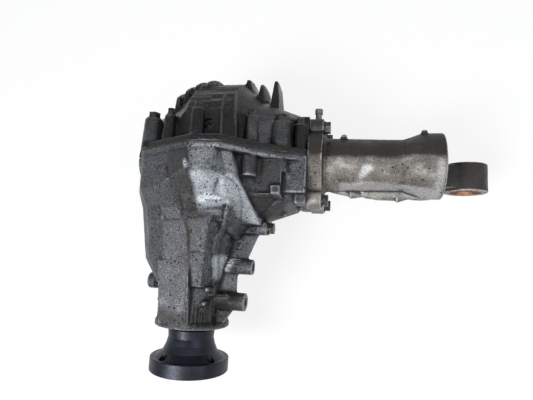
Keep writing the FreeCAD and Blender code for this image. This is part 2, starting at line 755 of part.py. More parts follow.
def make_case():
    """The carrier housing behind the joint, with the pinion housing in one casting."""
    behind = block((-400, 400), (-400, -mm("joint_gap") / 2), (-400, 400))
    body = housing_skin().common(behind)
    wires = []
    for place in "abcdef":
        y = -mm(f"section_at_{place}")
        left, right = mm(f"section_left_{place}"), mm(f"section_right_{place}")
        tall = mm(f"section_tall_{place}")
        above = [(-left, 0), (-0.94 * left, 0.5 * tall), (-0.66 * left, 0.83 * tall), (-0.3 * left, 0.97 * tall),
                 (0.6 * right, tall), (0.92 * right, 0.55 * tall), (right, 0)]
        points = above + [(x, -z) for x, z in reversed(above[1:-1])]
        corners = [Vector(x, y, z) for x, z in points]
        wires.append(Part.makePolygon(corners + corners[:1]))
    nose = Part.makeLoft(wires, True, True).common(behind)
    rim = joint_outline(mm("lip_margin - lip_step"), -mm("neck_end")).extrude(Vector(0, mm("neck_end"), 0))
    nose = nose.fuse(shoulder()).common(rim)
    neck_start = mm("section_at_f") - 10
    start, end = mm("section_at_e"), mm("panel_end")
    top, low = mm("section_tall_e") - 1, mm("panel_top")
    corners = [Vector(-mm("panel_left"), -y, z) for y, z in ((start, top), (end, low), (end, -low), (start, -top))]
    panel = Part.Face(Part.makePolygon(corners + corners[:1]))
    panel = panel.extrude(Vector(mm("panel_left + panel_right"), 0, 0))
    neck = revolved([(neck_start, 0), (neck_start, mm("neck_r")),
                     (mm("neck_end - bead_wide - 2"), mm("neck_r")),
                     (mm("neck_end - bead_wide"), mm("bead_r")), (mm("neck_end"), mm("bead_r")),
                     (mm("neck_end"), 0)], Vector(0, -1, 0))
    lip = joint_plate(-mm("joint_gap") / 2 - mm("case_lip"), mm("case_lip"), mm("lip_margin"))
    column = mm("joint_bolt_reach + column_over")
    columns = [cylinder(mm("column_r"), (x, -column, z), (0, 1, 0), column - mm("joint_gap"))
               for x, z in bolt_places()]
    x, z, column = mm("bolt_d_x"), mm("bolt_d_z"), mm("long_column")
    columns += [cylinder(mm("column_r"), (x, -column, way * z), (0, 1, 0), column - mm("joint_gap"))
                for way in (1, -1)]
    pad = block((mm("tube_face - pad_thick"), mm("tube_face")), (-mm("pad_back"), -mm("joint_gap")),
                (-mm("tube_flange_r"), mm("tube_flange_r")))
    feet = foot_ribs(-1)
    x, y, low = mm("drain_plug_x"), mm("drain_plug_y"), -mm("drain_seat")
    drain = cylinder(mm("plug_head_r + plug_boss_thick"), (x, y, low), (0, 0, 1), 20)
    shelf = block((mm("shelf_from"), mm("tube_face")), (-mm("shelf_back"), -mm("joint_gap")),
                  (-mm("shelf_top"), mm("shelf_top")))
    wall = block((mm("side_wall_from"), mm("shelf_from")), (-mm("side_wall_back"), -mm("joint_gap")),
                 (-mm("side_wall_top"), mm("side_wall_top")))
    body = body.fuse([nose, neck, panel, lip, pad, shelf, wall, drain] + columns + feet + side_bosses())
    body = body.cut(housing_room())
    head, tail = mm("head_from + head_cup_from"), mm("tail_end - tail_cup_from")
    bore = revolved([
        (30, 0), (30, mm("head_room_r")), (head, mm("head_room_r")), (head, mm("head_cup_r")),
        (mm("head_from + head_width"), mm("head_cup_r")), (mm("head_from + head_width"), mm("web_r")),
        (mm("head_from + head_width") + 5, mm("web_r")), (mm("head_from + head_width") + 5, mm("oil_room_r")),
        (mm("tail_end - tail_width") - 6, mm("oil_room_r")), (mm("tail_end - tail_width") - 6, mm("tail_web_r")),
        (mm("tail_end - tail_width"), mm("tail_web_r")), (mm("tail_end - tail_width"), mm("tail_cup_r")),
        (mm("neck_end"), mm("tail_cup_r")), (mm("neck_end"), 0)], Vector(0, -1, 0))
    tools = [bore]
    for x, z in bolt_places():
        tools.append(cylinder(mm("joint_bolt_r"), (x, -mm("joint_bolt_reach"), z), (0, 1, 0), 60))
    tools += dowel_holes()
    tools += tube_bolt_holes(-mm("tube_bolt_reach"), mm("tube_bolt_r"))
    for name, way in (("upper", 1), ("lower", 1), ("left", -1), ("plug", 1)):
        end = way * mm(f"{name}_boss_end")
        z = 0 if name == "left" else mm(f"{name}_boss_z")
        tools.append(cylinder(mm("side_thread_r"), (end, -mm(f"{name}_boss_y"), z), (-way, 0, 0),
                              mm("side_thread_deep")))
    tools.append(cylinder(mm("web_hole_r"), (mm("web_hole_x"), -mm("web_hole_y"), -20), (0, 0, 1), 60))
    tools.append(drain_hole())
    tools.append(cylinder(mm("right_bore_r"), (mm("tube_face") - 15, 0, 0), (1, 0, 0), 20))
    case = body.cut(tools[0].fuse(tools[1:]))
    keep("case", feature("case_shape", largest(case)))


def shoulder():
    """The sloping shoulders that run from the joint out to the side bolt, above and below."""
    rise = mm("shoulder_rise")
    wires = []
    for y, name, inner, back in ((mm("joint_gap") / 2, "top", 10, 12), (mm("shoulder_mid"), "mid", 12, 20),
                                 (mm("shoulder_end"), "end", 20, 30)):
        x, z = mm(f"shoulder_{name}_x"), mm(f"shoulder_{name}_z")
        points = [(inner, 0), (inner, z + rise), (x - back, z + rise), (x, z), (x + 2, 0)]
        outline = points + [(x, -z) for x, z in reversed(points[1:-1])]
        corners = [Vector(x, -y, z) for x, z in outline]
        wires.append(Part.makePolygon(corners + corners[:1]))
    return Part.makeLoft(wires, True, True)


def largest(shape):
    """The biggest solid of a shape, without the crumbs that trimming leaves."""
    return max(shape.Solids, key=lambda solid: solid.Volume)


def foot_ribs(way):
    """The cast legs under one half, each a web with a pad that the housing stands on."""
    low, thick, pad = -mm("foot_level"), mm("foot_thick"), mm("foot_pad")
    gap = mm("joint_gap") / 2
    ribs = []
    for x, back in ((-mm("foot_left_x"), mm("foot_back_left")), (mm("foot_right_x"), mm("foot_back_right"))):
        end = back if way < 0 else mm("foot_front")
        outline = [(gap, -40), (gap, low + 14), (end - pad - 12, low + 14), (end - pad, low + 2), (end - pad, low),
                   (end, low), (end, low + 6), (end - 26, -40)]
        corners = [Vector(x - thick / 2, way * y, z) for y, z in outline]
        ribs.append(Part.Face(Part.makePolygon(corners + corners[:1])).extrude(Vector(thick, 0, 0)))
        near, far = sorted((way * (end - pad), way * end))
        ribs.append(block((x - pad / 2, x + pad / 2), (near, far), (low, low + 7)))
    return ribs


def side_bosses():
    """The threaded bosses on both sides of the pinion housing and the webs between them."""
    bosses = []
    root = mm("boss_root_x")
    for name in ("upper", "lower", "plug"):
        y, z, end = -mm(f"{name}_boss_y"), mm(f"{name}_boss_z"), mm(f"{name}_boss_end")
        bosses.append(cylinder(mm(f"{name}_boss_r"), (root, y, z), (1, 0, 0), end - root))
    left = mm("left_boss_end")
    bosses.append(cylinder(mm("left_boss_r"), (-root, -mm("left_boss_y"), 0), (-1, 0, 0), left - root))
    thick, z = mm("web_thick"), mm("upper_boss_z")
    upper, lower, plug = -mm("upper_boss_y"), -mm("lower_boss_y"), -mm("plug_boss_y")
    edge, foot = mm("upper_boss_end") - 20, lower - 26
    webs = (((root, plug), (mm("plug_boss_end") - 8, plug), (edge + 8, upper), (root, upper)),
            ((root, upper), (edge, upper), (edge, lower - 6), (edge - 13, foot), (root, foot)))
    for outline in webs:
        corners = [Vector(x, y, z - thick / 2) for x, y in outline]
        bosses.append(Part.Face(Part.makePolygon(corners + corners[:1])).extrude(Vector(0, 0, thick)))
    return bosses


def dowel_holes():
    """The two dowel holes across the joint, near opposite corners."""
    half = mm("dowel_half")
    return [cylinder(mm("dowel_r"), (x, -half, z), (0, 1, 0), 2 * half) for x, z in dowel_places()]


def dowel_places():
    first = (mm("(bolt_a_x + bolt_b_x) / 2"), mm("(bolt_a_z + bolt_b_z) / 2"))
    second = (mm("(bolt_d_x + bolt_e_x) / 2"), -mm("(bolt_d_z + bolt_e_z) / 2"))
    return first, second


def tube_bolt_places():
    z = mm("tube_bolt_z")
    return [(y, way * z) for y in (mm("tube_bolt_up"), -mm("tube_bolt_down")) for way in (1, -1)]


def tube_bolt_holes(start, radius):
    face = mm("tube_face")
    return [cylinder(radius, (face + start, y, z), (1, 0, 0), 60) for y, z in tube_bolt_places()]


def drain_hole():
    x, y = mm("drain_plug_x"), mm("drain_plug_y")
    return cylinder(mm("plug_r"), (x, y, -130), (0, 0, 1), 60)


def make_cover():
    """The finned cover in front of the joint."""
    front = block((-400, 400), (mm("joint_gap") / 2, 400), (-400, 400))
    body = housing_skin().common(front)
    lip = joint_plate(mm("joint_gap") / 2, mm("cover_lip"), mm("lip_margin"))
    bosses = []
    for (x, z), (radius, across, collar) in zip(bolt_places(), bolt_sizes()):
        bosses.append(Part.makeCone(radius + mm("boss_taper"), radius, mm("boss_top - joint_gap"),
                                    Vector(x, mm("joint_gap"), z), Vector(0, 1, 0)))
    half = mm("bolt_f_z - boss_r") - 1
    pad = block((mm("tube_face - pad_thick"), mm("tube_face")), (mm("joint_gap"), mm("pad_front")), (-half, half))
    feet = foot_ribs(1)
    body = body.fuse([lip, pad] + bosses + feet + fins())
    seat = mm("fill_seat")
    plug_boss = cylinder(mm("plug_head_r + plug_boss_thick"), (mm("fill_plug_x"), seat / 2, mm("fill_plug_z")),
                         (0, 1, 0), seat / 2)
    body = body.fuse(plug_boss).cut(housing_room())
    start, end = mm("bolt_d_x + pocket_past"), mm("tube_face - pad_thick") - 1
    pocket = revolved([(start, 0), (start, mm("neck_d_r - pocket_wall")), (end, mm("tube_end_r - wall") - 2),
                       (end, 0)], Vector(1, 0, 0))
    half = mm("pocket_half")
    pocket = pocket.common(block((-400, 400), (-400, 400), (-half, half)))
    tools = [pocket] + dowel_holes() + tube_bolt_holes(-mm("tube_bolt_reach"), mm("tube_bolt_r"))
    for (x, z), (radius, across, collar) in zip(bolt_places(), bolt_sizes()):
        tools.append(cylinder(mm("joint_bolt_r + bolt_play"), (x, -1, z), (0, 1, 0), mm("boss_top") + 1))
        tools.append(cylinder(collar + 1, (x, mm("boss_top"), z), (0, 1, 0), 60))
    tools.append(cylinder(mm("plug_r"), (mm("fill_plug_x"), seat / 2, mm("fill_plug_z")), (0, 1, 0), seat))
    tools.append(cylinder(mm("plug_head_r"), (mm("fill_plug_x"), seat, mm("fill_plug_z")), (0, 1, 0), seat))
    cover = body.cut(tools[0].fuse(tools[1:]))
    keep("cover", feature("cover_shape", largest(cover)))


def fins():
    """The cooling fins across the cover: low ones over the dome and tall ones on its right slope."""
    plates = []
    tip, drop = mm("fin_tip"), mm("fin_drop")
    for place in "abcdefg":
        x, radius = mm(f"fin_{place}_x"), mm(f"fin_{place}_r")
        reach, root = mm(f"fin_{place}_reach"), mm(f"fin_{place}_root")
        plate = revolved([(x - root, 0), (x - root, radius - drop), (x - tip, radius), (x + tip, radius),
                          (x + root, radius - drop), (x + root, 0)], Vector(1, 0, 0))
        plates.append(plate.common(block((-400, 400), (20, 400), (-reach, reach))))
    return plates


def make_joint_pieces():
    gap = mm("joint_gap")
    seal = joint_plate(-gap / 2, gap, mm("lip_margin")).cut(housing_room())
    half = mm("pocket_half") + 5
    pocket = block((mm("bolt_d_x + pocket_past"), mm("tube_face - pad_thick") - 1), (-gap, gap), (-half, half))
    holes = [cylinder(mm("joint_bolt_r + bolt_play"), (x, -2, z), (0, 1, 0), 4) for x, z in bolt_places()]
    seal = seal.cut(pocket.fuse(holes + dowel_holes()))
    strips = [strip for strip in seal.Solids if strip.Volume > 100]
    keep("joint_sealant", feature("joint_sealant_shape", Part.makeCompound(strips)))
    bolts = []
    for (x, z), (radius, across, collar) in zip(bolt_places(), bolt_sizes()):
        bolts.append(hex_bolt((x, mm("boss_top"), z), (0, 1, 0), mm("boss_top + joint_bolt_reach"),
                              mm("joint_bolt_r"), across, mm("bolt_head"), mm("bolt_collar"), collar))
    keep("cover_bolts", feature("cover_bolts_shape", Part.makeCompound(bolts)))
    half = mm("dowel_half")
    pins = []
    for x, z in dowel_places():
        pin = cylinder(mm("dowel_r"), (x, -half, z), (0, 1, 0), 2 * half)
        pins.append(pin.cut(cylinder(mm("dowel_r") - 2, (x, -half, z), (0, 1, 0), 2 * half)))
    keep("dowels", feature("dowels_shape", Part.makeCompound(pins)))


def make_plugs():
    """The oil plugs, the side bolt and the breather."""
    for label, start, way in (
            ("fill_plug", (mm("fill_plug_x"), mm("fill_seat"), mm("fill_plug_z")), (0, 1, 0)),
            ("drain_plug", (mm("drain_plug_x"), mm("drain_plug_y"), -mm("drain_seat")), (0, 0, -1))):
        seat, way = Vector(*start), Vector(*way)
        shank = Part.makeCylinder(mm("plug_r"), mm("plug_deep"), seat - way * mm("plug_deep"), way)
        head = Part.makeCylinder(mm("plug_head_r") - 1, mm("plug_head"), seat, way)
        socket = hexagon(mm("plug_socket"), seat, way, mm("plug_head"))
        keep(label, feature(label + "_shape", shank.fuse(head).cut(socket)))
    side = hex_bolt((mm("plug_boss_end"), -mm("plug_boss_y"), mm("plug_boss_z")), (1, 0, 0),
                    mm("side_thread_deep") - 2, mm("side_thread_r"), mm("bolt_across"),
                    mm("bolt_head"), mm("bolt_collar"), mm("big_collar_r"))
    keep("side_bolt", feature("side_bolt_shape", side))
    base = Vector(mm("breather_x"), mm("breather_boss_top"), mm("breather_z"))
    up = Vector(0, 1, 0)
    stem = Part.makeCylinder(mm("breather_r"), mm("breather_tall") + 6, base - up * 6, up)
    cap = Part.makeCylinder(mm("breather_cap_r"), 6, base + up * (mm("breather_tall") - 5), up)
    collar = Part.makeCylinder(mm("breather_cap_r"), 2, base, up)
    bore = Part.makeCylinder(1.5, mm("breather_tall"), base - up * 6, up)
    keep("breather", feature("breather_shape", stem.fuse([cap, collar]).cut(bore)))


def make_tube():
    """The axle tube with its flange, bell, lower rib and bush eye in one casting."""
    face, end = mm("tube_face"), mm("tube_end")
    flange_end = face + mm("tube_flange")
    outer = revolved([(face, 0), (face, mm("tube_flange_r")), (flange_end, mm("tube_flange_r")),
                      (flange_end, mm("tube_r") + 3), (flange_end + 4, mm("tube_r")),
                      (mm("bell_from"), mm("tube_waist_r")), (mm("bell_start"), mm("bell_r")),
                      (end, mm("bell_r")), (end, 0)], Vector(1, 0, 0))
    lobes = [cylinder(mm("tube_lobe_r"), (face, y, z), (1, 0, 0), mm("tube_flange"))
             for y, z in tube_bolt_places()]
    low = -mm("tube_rib_half")
    corners = [Vector(flange_end + mm("tube_rib_from"), 0, low),
               Vector(flange_end + mm("tube_rib_full"), -mm("bell_r"), low),
               Vector(end, -mm("bell_r"), low), Vector(end, 0, low)]
    rib = Part.Face(Part.makePolygon(corners + corners[:1])).extrude(Vector(0, 0, -2 * low))
    x, y, z = mm("eye_x"), mm("eye_y"), mm("eye_z")
    half = mm("eye_long") / 2
    barrel = cylinder(mm("eye_r"), (x, y - half, z), (0, 1, 0), 2 * half)
    arm_half = mm("eye_arm_thick") / 2
    corners = [Vector(end - 22, y - arm_half, -14), Vector(x - 8, y - arm_half, z + mm("eye_r") - 4),
               Vector(x, y - arm_half, z - mm("eye_r") + 6), Vector(end - 40, y - arm_half, -mm("bell_r") - 4),
               Vector(end - 52, y - arm_half, -20)]
    arm = Part.Face(Part.makePolygon(corners + corners[:1])).extrude(Vector(0, 2 * arm_half, 0))
    nest = cylinder(mm("breather_boss_r"), (mm("breather_x"), mm("tube_bore_r + wall"), mm("breather_z")),
                    (0, 1, 0), mm("breather_boss_top - tube_bore_r - wall"))
    body = outer.fuse(lobes + [rib, barrel, arm, nest])
    spigot = revolved([(face - mm("spigot"), 0), (face - mm("spigot"), mm("right_bore_r")),
                       (face + 1, mm("right_bore_r")), (face + 1, 0)], Vector(1, 0, 0))
    groove_end, groove_r = face - mm("oring_from"), mm("right_bore_r - oring_deep")
    groove_start = groove_end - mm("oring_wide")
    groove_cut = revolved([(groove_start, groove_r), (groove_start, 60), (groove_end, 60),
                           (groove_end, groove_r)], Vector(1, 0, 0))
    body = body.fuse(spigot.cut(groove_cut))
    start, wide = mm("end_bearing_from"), mm("end_bearing_wide")
    bore = revolved([(face - 20, 0), (face - 20, mm("tube_bore_r")), (start, mm("tube_bore_r")),
                     (start, mm("end_bearing_r")), (end, mm("end_bearing_r")), (end, 0)], Vector(1, 0, 0))
    snap_end, snap_r = start + wide + mm("snap_thick"), mm("end_bearing_r + snap_bite")
    notch = revolved([(start + wide, 30), (start + wide, snap_r), (snap_end, snap_r), (snap_end, 30)],
                     Vector(1, 0, 0))
    eye = cylinder(mm("bush_r"), (x, y - half - 1, z), (0, 1, 0), 2 * half + 2)
    vent = cylinder(mm("breather_r"), (mm("breather_x"), 10, mm("breather_z")), (0, 1, 0), 60)
    tools = [bore, notch, eye, vent] + tube_bolt_holes(-1, mm("tube_bolt_r + bolt_play"))
    tools += [cylinder(mm("big_collar_r") + 1, (flange_end, y, z), (1, 0, 0), 18)
              for y, z in tube_bolt_places()]
    keep("axle_tube", feature("axle_tube_shape", largest(body.cut(tools[0].fuse(tools[1:])))))
    bolts = [hex_bolt((flange_end, y, z), (1, 0, 0), mm("tube_flange + tube_bolt_reach"),
                      mm("tube_bolt_r"), mm("bolt_across"), mm("bolt_head"), mm("bolt_collar"),
                      mm("big_collar_r"))
             for y, z in tube_bolt_places()]
    keep("tube_bolts", feature("tube_bolts_shape", Part.makeCompound(bolts)))
    keep("tube_oring", ring("tube_oring", "tube_face - oring_from - oring_wide", "oring_wide",
                            "right_bore_r - oring_deep", "right_bore_r"), RIGHTWARDS)


def make_bush():
    """The rubber bush in the tube's eye, its three rings pressed together."""
    half = "eye_long / 2"
    place = dict(rotation=BACKWARDS, x="eye_x", y="eye_y", z="eye_z")
    inner = "bush_r - bush_shell"
    keep("bush_shell", ring("bush_shell", f"0 - {half}", "eye_long", inner, "bush_r"), **place)
    keep("bush_rubber", ring("bush_rubber", f"0 - {half} + bush_rubber_set",
                             "eye_long - 2 * bush_rubber_set", "bush_sleeve_r", inner), **place)
    keep("bush_sleeve", ring("bush_sleeve", f"0 - {half} - bush_sleeve_over",
                             "eye_long + 2 * bush_sleeve_over", "bush_bore_r", "bush_sleeve_r"), **place)


def make_tube_end():
    """The ball bearing, snap ring and seal at the end of the axle tube."""
    start, middle = "end_bearing_from", "(end_bearing_from + end_bearing_wide / 2)"
    for label, inner, outer in (("tube_bearing_inner", "end_seat_r", "ball_circle_r - 2.6"),
                                ("tube_bearing_outer", "ball_circle_r + 2.6", "end_bearing_r")):
        groove = outer if "inner" in label else inner
        wall_r = inner if "inner" in label else outer
        sign = "-" if "inner" in label else "+"
        corners = [(start, wall_r), (start, groove)]
        for turn in (-54, -36, -18, 0, 18, 36, 54):
            corners.append((f"{middle} + (ball_r + run_gap) * 1.013 * sin({turn})",
                            f"ball_circle_r {sign} (ball_r + run_gap) * 1.013 * cos({turn})"))
        corners += [(f"{start} + end_bearing_wide", groove), (f"{start} + end_bearing_wide", wall_r)]
        keep(label, turned(label, corners), RIGHTWARDS)
    balls = []
    count = int(mm("ball_count"))
    for i in range(count):
        turn = 2 * math.pi * i / count
        centre = Vector(math.cos(turn), math.sin(turn), 0) * mm("ball_circle_r") + Vector(0, 0, mm(middle))
        balls.append(Part.makeSphere(mm("ball_r"), centre))
    keep("tube_bearing_balls", feature("tube_bearing_balls_shape", Part.makeCompound(balls)), RIGHTWARDS)
    keep("snap_ring", ring("snap_ring", f"{start} + end_bearing_wide", "snap_thick",
                           "end_bearing_r - 2 * snap_bite", "end_bearing_r + snap_bite"), RIGHTWARDS)
    keep("right_seal", seal("right_seal", "tube_end - end_seal_thick", "end_seal_thick",
                            "end_seat_r + run_gap", "end_bearing_r"), RIGHTWARDS)


def seal(name, start, thick, inner, outer):
    """A lip seal: a cupped ring, open on its inner side."""
    end = f"{start} + {thick}"
    return turned(name, [(start, f"{outer} - 2"), (start, outer), (end, outer), (end, inner),
                         (f"{start} + 2", inner), (f"{start} + 2", f"{inner} + 2"),
                         (f"{end} - 2", f"{inner} + 2"), (f"{end} - 2", f"{outer} - 2")])


def make_carrier():
    """The differential carrier with its flange, journals, windows and pin bore."""
    end, seat = "carrier_end", "side_seat_r"
    right = f"({end} + carrier_flange + carrier_shoulder)"
    back = "(side_back + washer_thick)"
    room, hub = "cavity_r", "side_hub_r + run_gap"
    hub_end = "(side_hub_end + 1)"
    outer = turned("carrier_blank", [
        (f"0 - {end} - side_width", "carrier_bore_r"), (f"0 - {end} - side_width", seat),
        (f"0 - {end}", seat), (f"0 - {end}", "carrier_shoulder_r"),
        (f"0 - {end} + 3", "carrier_r"), ("ring_back - ring_seat_long", "carrier_r"),
        ("ring_back - ring_seat_long", "carrier_r + ring_seat"), ("ring_back", "carrier_r + ring_seat"),
        ("ring_back", f"{RING_BOLTS} + flange_rim"), (f"{end} + carrier_flange", f"{RING_BOLTS} + flange_rim"),
        (f"{end} + carrier_flange", "carrier_shoulder_r"),
        (right, "carrier_shoulder_r"), (right, seat), (f"{right} + side_width", seat),
        (f"{right} + side_width", "carrier_bore_r"),
        (hub_end, "carrier_bore_r"), (hub_end, hub), (back, hub), (back, room),
        (f"0 - {back}", room), (f"0 - {back}", hub), (f"0 - {hub_end}", hub),
        (f"0 - {hub_end}", "carrier_bore_r")])
    sphere = doc.addObject("Part::Sphere", "carrier_hollow_ball")
    sphere.setExpression("Radius", bound("carrier_r - spider_wall + washer_thick + 2 * washer_play"))
    between = rod("carrier_hollow_length", "carrier_r", f"2 * {back}", z=f"0 - {back}")
    hollow = doc.addObject("Part::MultiCommon", "carrier_hollow")
    hollow.Shapes = [sphere, between]
    window = doc.addObject("Part::Box", "carrier_window")
    window.setExpression("Length", bound("window_z"))
    window.setExpression("Width", bound("4 * carrier_r"))
    window.setExpression("Height", bound("window_x"))
    window.setExpression("Placement.Base.x", bound("0 - window_z / 2"))
    window.setExpression("Placement.Base.y", bound("0 - 2 * carrier_r"))
    window.setExpression("Placement.Base.z", bound("0 - window_x / 2"))
    pin = rod("carrier_pin_bore", "cross_pin_r", "4 * carrier_r", Rotation(Vector(0, 1, 0), 90),
              x="0 - 2 * carrier_r")
    lock = rod("carrier_lock_bore", "lock_pin_r", "carrier_end + lock_pin_past",
               x="lock_pin_in - carrier_r", z="0 - carrier_end")
    holes = []
    for i in range(int(mm("ring_bolt_count"))):
        turn = f"({i} + 0.5) * 360 / ring_bolt_count"
        holes.append(rod(f"carrier_bolt_hole_{i}", "ring_bolt_r + bolt_play", "3 * carrier_flange",
                         x=f"{RING_BOLTS} * cos({turn})", y=f"{RING_BOLTS} * sin({turn})",
                         z="ring_back - carrier_flange"))
    keep("carrier", cut("carrier_cut", outer, [hollow, window, pin, lock] + holes), RIGHTWARDS)
    bolts = []
    for place in bolt_ring("ring_bolt_count", RING_BOLTS):
        seat_z = mm("ring_back + carrier_flange")
        bolts.append(hex_bolt((place.x, place.y, seat_z), (0, 0, 1), mm("carrier_flange + ring_bolt_depth"),
                              mm("ring_bolt_r"), mm("bolt_across"), mm("ring_bolt_head"),
                              mm("bolt_collar"), mm("ring_collar_r")))
    keep("ring_bolts", feature("ring_bolts_shape", Part.makeCompound(bolts)), RIGHTWARDS)
    half = "(carrier_r - 1)"
    bar = rod("cross_pin_bar", "cross_pin_r", f"2 * {half}", z=f"0 - {half}")
    hole = rod("cross_pin_hole", "lock_pin_r", "4 * cross_pin_r", Rotation(Vector(0, 1, 0), 90),
               x="0 - 2 * cross_pin_r", z="carrier_r - lock_pin_in")
    keep("cross_pin", cut("cross_pin_cut", bar, [hole]))
    lock_pin = rod("lock_pin_rod", "lock_pin_r", "carrier_end + lock_pin_past - lock_pin_sunk")
    keep("lock_pin", lock_pin, RIGHTWARDS, x="lock_pin_sunk - carrier_end", z="carrier_r - lock_pin_in")


def make_washers():
    for label, rotation in (("left_thrust_washer", LEFTWARDS), ("right_thrust_washer", RIGHTWARDS)):
        keep(label, ring(label, "side_back", "washer_thick", "side_hub_r + run_gap", "cavity_r - 6"), rotation)
    shell = Part.makeSphere(mm("carrier_r - spider_wall + washer_play + washer_thick"))
    shell = shell.cut(Part.makeSphere(mm("carrier_r - spider_wall + washer_play")))
    reach = mm("cavity_r * 0.5")
    cups = []
    for way in (1, -1):
        column = cylinder(reach, (0, 0, 0), (0, 0, way), 60)
        pin = cylinder(mm("cross_pin_r + run_gap"), (0, 0, 0), (0, 0, way), 60)
        cups.append(shell.common(column).cut(pin))
    keep("spider_washers", feature("spider_washers_shape", Part.makeCompound(cups)))


def make_right_shaft():
    """The long shaft from the right side gear to the end of the axle tube."""
    bore, deep = "drive_bore_r", "drive_bore_deep"
    groove = "side_front - run_gap - circlip_thick"
    shaft = turned("right_shaft", [
        ("shaft_spline_from", "0"), ("shaft_spline_from", "spline_r"), (groove, "spline_r"),
        (groove, "spline_r - circlip_deep"), ("side_front - run_gap", "spline_r - circlip_deep"),
        ("side_front - run_gap", "spline_r"),
        ("shaft_spline_end", "spline_r"), ("shaft_spline_end + 2", "shaft_r"),
        ("end_bearing_from - 8", "shaft_r"), ("end_bearing_from - 4", "end_seat_r + 2"),
        ("end_bearing_from", "end_seat_r + 2"), ("end_bearing_from", "end_seat_r"),
        ("tube_end - 1", "end_seat_r"), ("tube_end - 1", bore), (f"tube_end - 1 - {deep}", bore),
        (f"tube_end - 1 - {deep}", "0")])
    keep("right_shaft", shaft, RIGHTWARDS)
    keep("shaft_circlip", ring("shaft_circlip", groove, "circlip_thick", "spline_r - circlip_deep",
                               "spline_r + circlip_deep"), RIGHTWARDS)


def make_pinion_pieces():
    """What sits on the pinion shaft and around it in the neck."""
    cone_end = "(head_from + head_width)"
    tail_start = "(tail_end - tail_width)"
    middle = f"(({cone_end} + {tail_start}) / 2)"
    inner, outer = "head_seat_r + run_gap", "crush_r"
    keep("crush_sleeve", turned("crush_sleeve", [
        (cone_end, inner), (tail_start + " - 2", inner), (tail_start + " - 2", "tail_seat_r + run_gap"),
        (tail_start, "tail_seat_r + run_gap"), (tail_start, outer),
        (f"{middle} + 8", outer), (middle, "crush_r + crush_bulge"), (f"{middle} - 8", outer),
        (cone_end, outer)]), BACKWARDS)
    keep("pinion_seal", seal("pinion_seal", "tail_end + 4", "neck_end - tail_end - 4",
                             "hub_r + run_gap", "tail_cup_r"), BACKWARDS)
    rim = "flange_face - flange_thick"
    opening, throat = "(neck_end + hub_over)", FLANGE_THROAT
    flange = turned("companion_flange_blank", [
        ("tail_end", "pinion_spline_r"), ("tail_end", "hub_r"), (opening, "hub_r"),
        (opening, "flange_throat_r + 1"), (throat, "flange_throat_r"),
        (f"{throat} + 8", "flange_throat_r + 2"), (f"{rim} - 7", "flange_throat_r + 6"),
        (rim, "flange_r - flange_root_in"), (rim, "flange_r - 1"), (f"{rim} + 1", "flange_r"),
        ("flange_face - 1", "flange_r"), ("flange_face", "flange_r - 1"),
        ("flange_face", "flange_recess_r"), (NUT_SEAT, "flange_recess_r - 2"), (NUT_SEAT, "pinion_spline_r")])
    holes = []
    for i in range(4):
        turn = mm("flange_hole_turn") + 90 * i
        x = f"flange_hole_circle_r * cos(flange_hole_turn + {90 * i})"
        y = f"flange_hole_circle_r * sin(flange_hole_turn + {90 * i})"
        holes.append(rod(f"flange_hole_{i}", "flange_hole_r", "4 * flange_thick", x=x, y=y,
                         z="flange_face - 3 * flange_thick"))
    keep("companion_flange", cut("companion_flange_cut", flange, holes), BACKWARDS)
    keep("dust_deflector", turned("dust_deflector", [
        ("neck_end + 1.5", "hub_r"), ("neck_end + 1.5", "deflector_r"),
        ("neck_end + 1.5 + deflector_thick", "deflector_r"), ("neck_end + 1.5 + deflector_thick", "hub_r")]),
        BACKWARDS)
    keep("pinion_washer", ring("pinion_washer", NUT_SEAT, "washer_deep", "thread_r", "washer_r"), BACKWARDS)
    start = mm(NUT_SEAT + " + washer_deep")
    nut = hexagon(mm("nut_across"), (0, 0, start), (0, 0, 1), mm("nut_tall"))
    nut = nut.cut(cylinder(mm("thread_r"), (0, 0, start), (0, 0, 1), mm("nut_tall")))
    keep("pinion_nut", feature("pinion_nut_shape", nut), BACKWARDS)


def make_side_pieces():
    """Shims and the left seal on the axle axis."""
    keep("left_shim", ring("left_shim", "carrier_end + side_width", "shim_thick", "side_seat_r + 6",
                           "side_cup_r"), LEFTWARDS)
    right = "(carrier_end + carrier_flange + carrier_shoulder + side_width)"
    keep("right_shim", ring("right_shim", right, "shim_thick", "side_seat_r + 6", "side_cup_r"), RIGHTWARDS)
    keep("left_seal", seal("left_seal", "left_end - seal_thick", "seal_thick", "seal_lip_r", "seal_r"),
         LEFTWARDS)


make_case()
make_cover()
make_joint_pieces()
make_plugs()
make_tube()
make_bush()
make_tube_end()
make_carrier()
make_washers()
make_ring_gear()
make_pinion()
make_side_gear("left_side_gear", LEFTWARDS)
make_side_gear("right_side_gear", RIGHTWARDS)
make_spider_gear("upper_spider_gear", 1)
make_spider_gear("lower_spider_gear", -1)
taper_bearing("side", ("left_cone", "left_cup", "left_rollers"), LEFTWARDS, "carrier_end", 1)
taper_bearing("side", ("right_cone", "right_cup", "right_rollers"), RIGHTWARDS,
              "(carrier_end + carrier_flange + carrier_shoulder)", 1)
taper_bearing("head", ("head_cone", "head_cup", "head_rollers"), BACKWARDS, "head_from", 1)
taper_bearing("tail", ("tail_cone", "tail_cup", "tail_rollers"), BACKWARDS, "tail_end", -1)
make_pinion_pieces()
make_right_shaft()
make_side_pieces()
doc.recompute()

for item in doc.Objects:
    if "Invalid" in item.State or "Error" in item.State:
        raise RuntimeError(f"{item.Label} did not build: {item.State}")
os.makedirs("parts", exist_ok=True)
unsound = [label for label, item in built.items() if item.Shape.isNull() or not item.Shape.isValid()]
if unsound:
    raise RuntimeError(f"no valid shape: {unsound}")
for label, item in built.items():
    item.Shape.exportStep(f"parts/{label}.step")
    print(f"{label}: {len(item.Shape.Solids)} solids, {item.Shape.Volume / 1000:.1f} cm3")
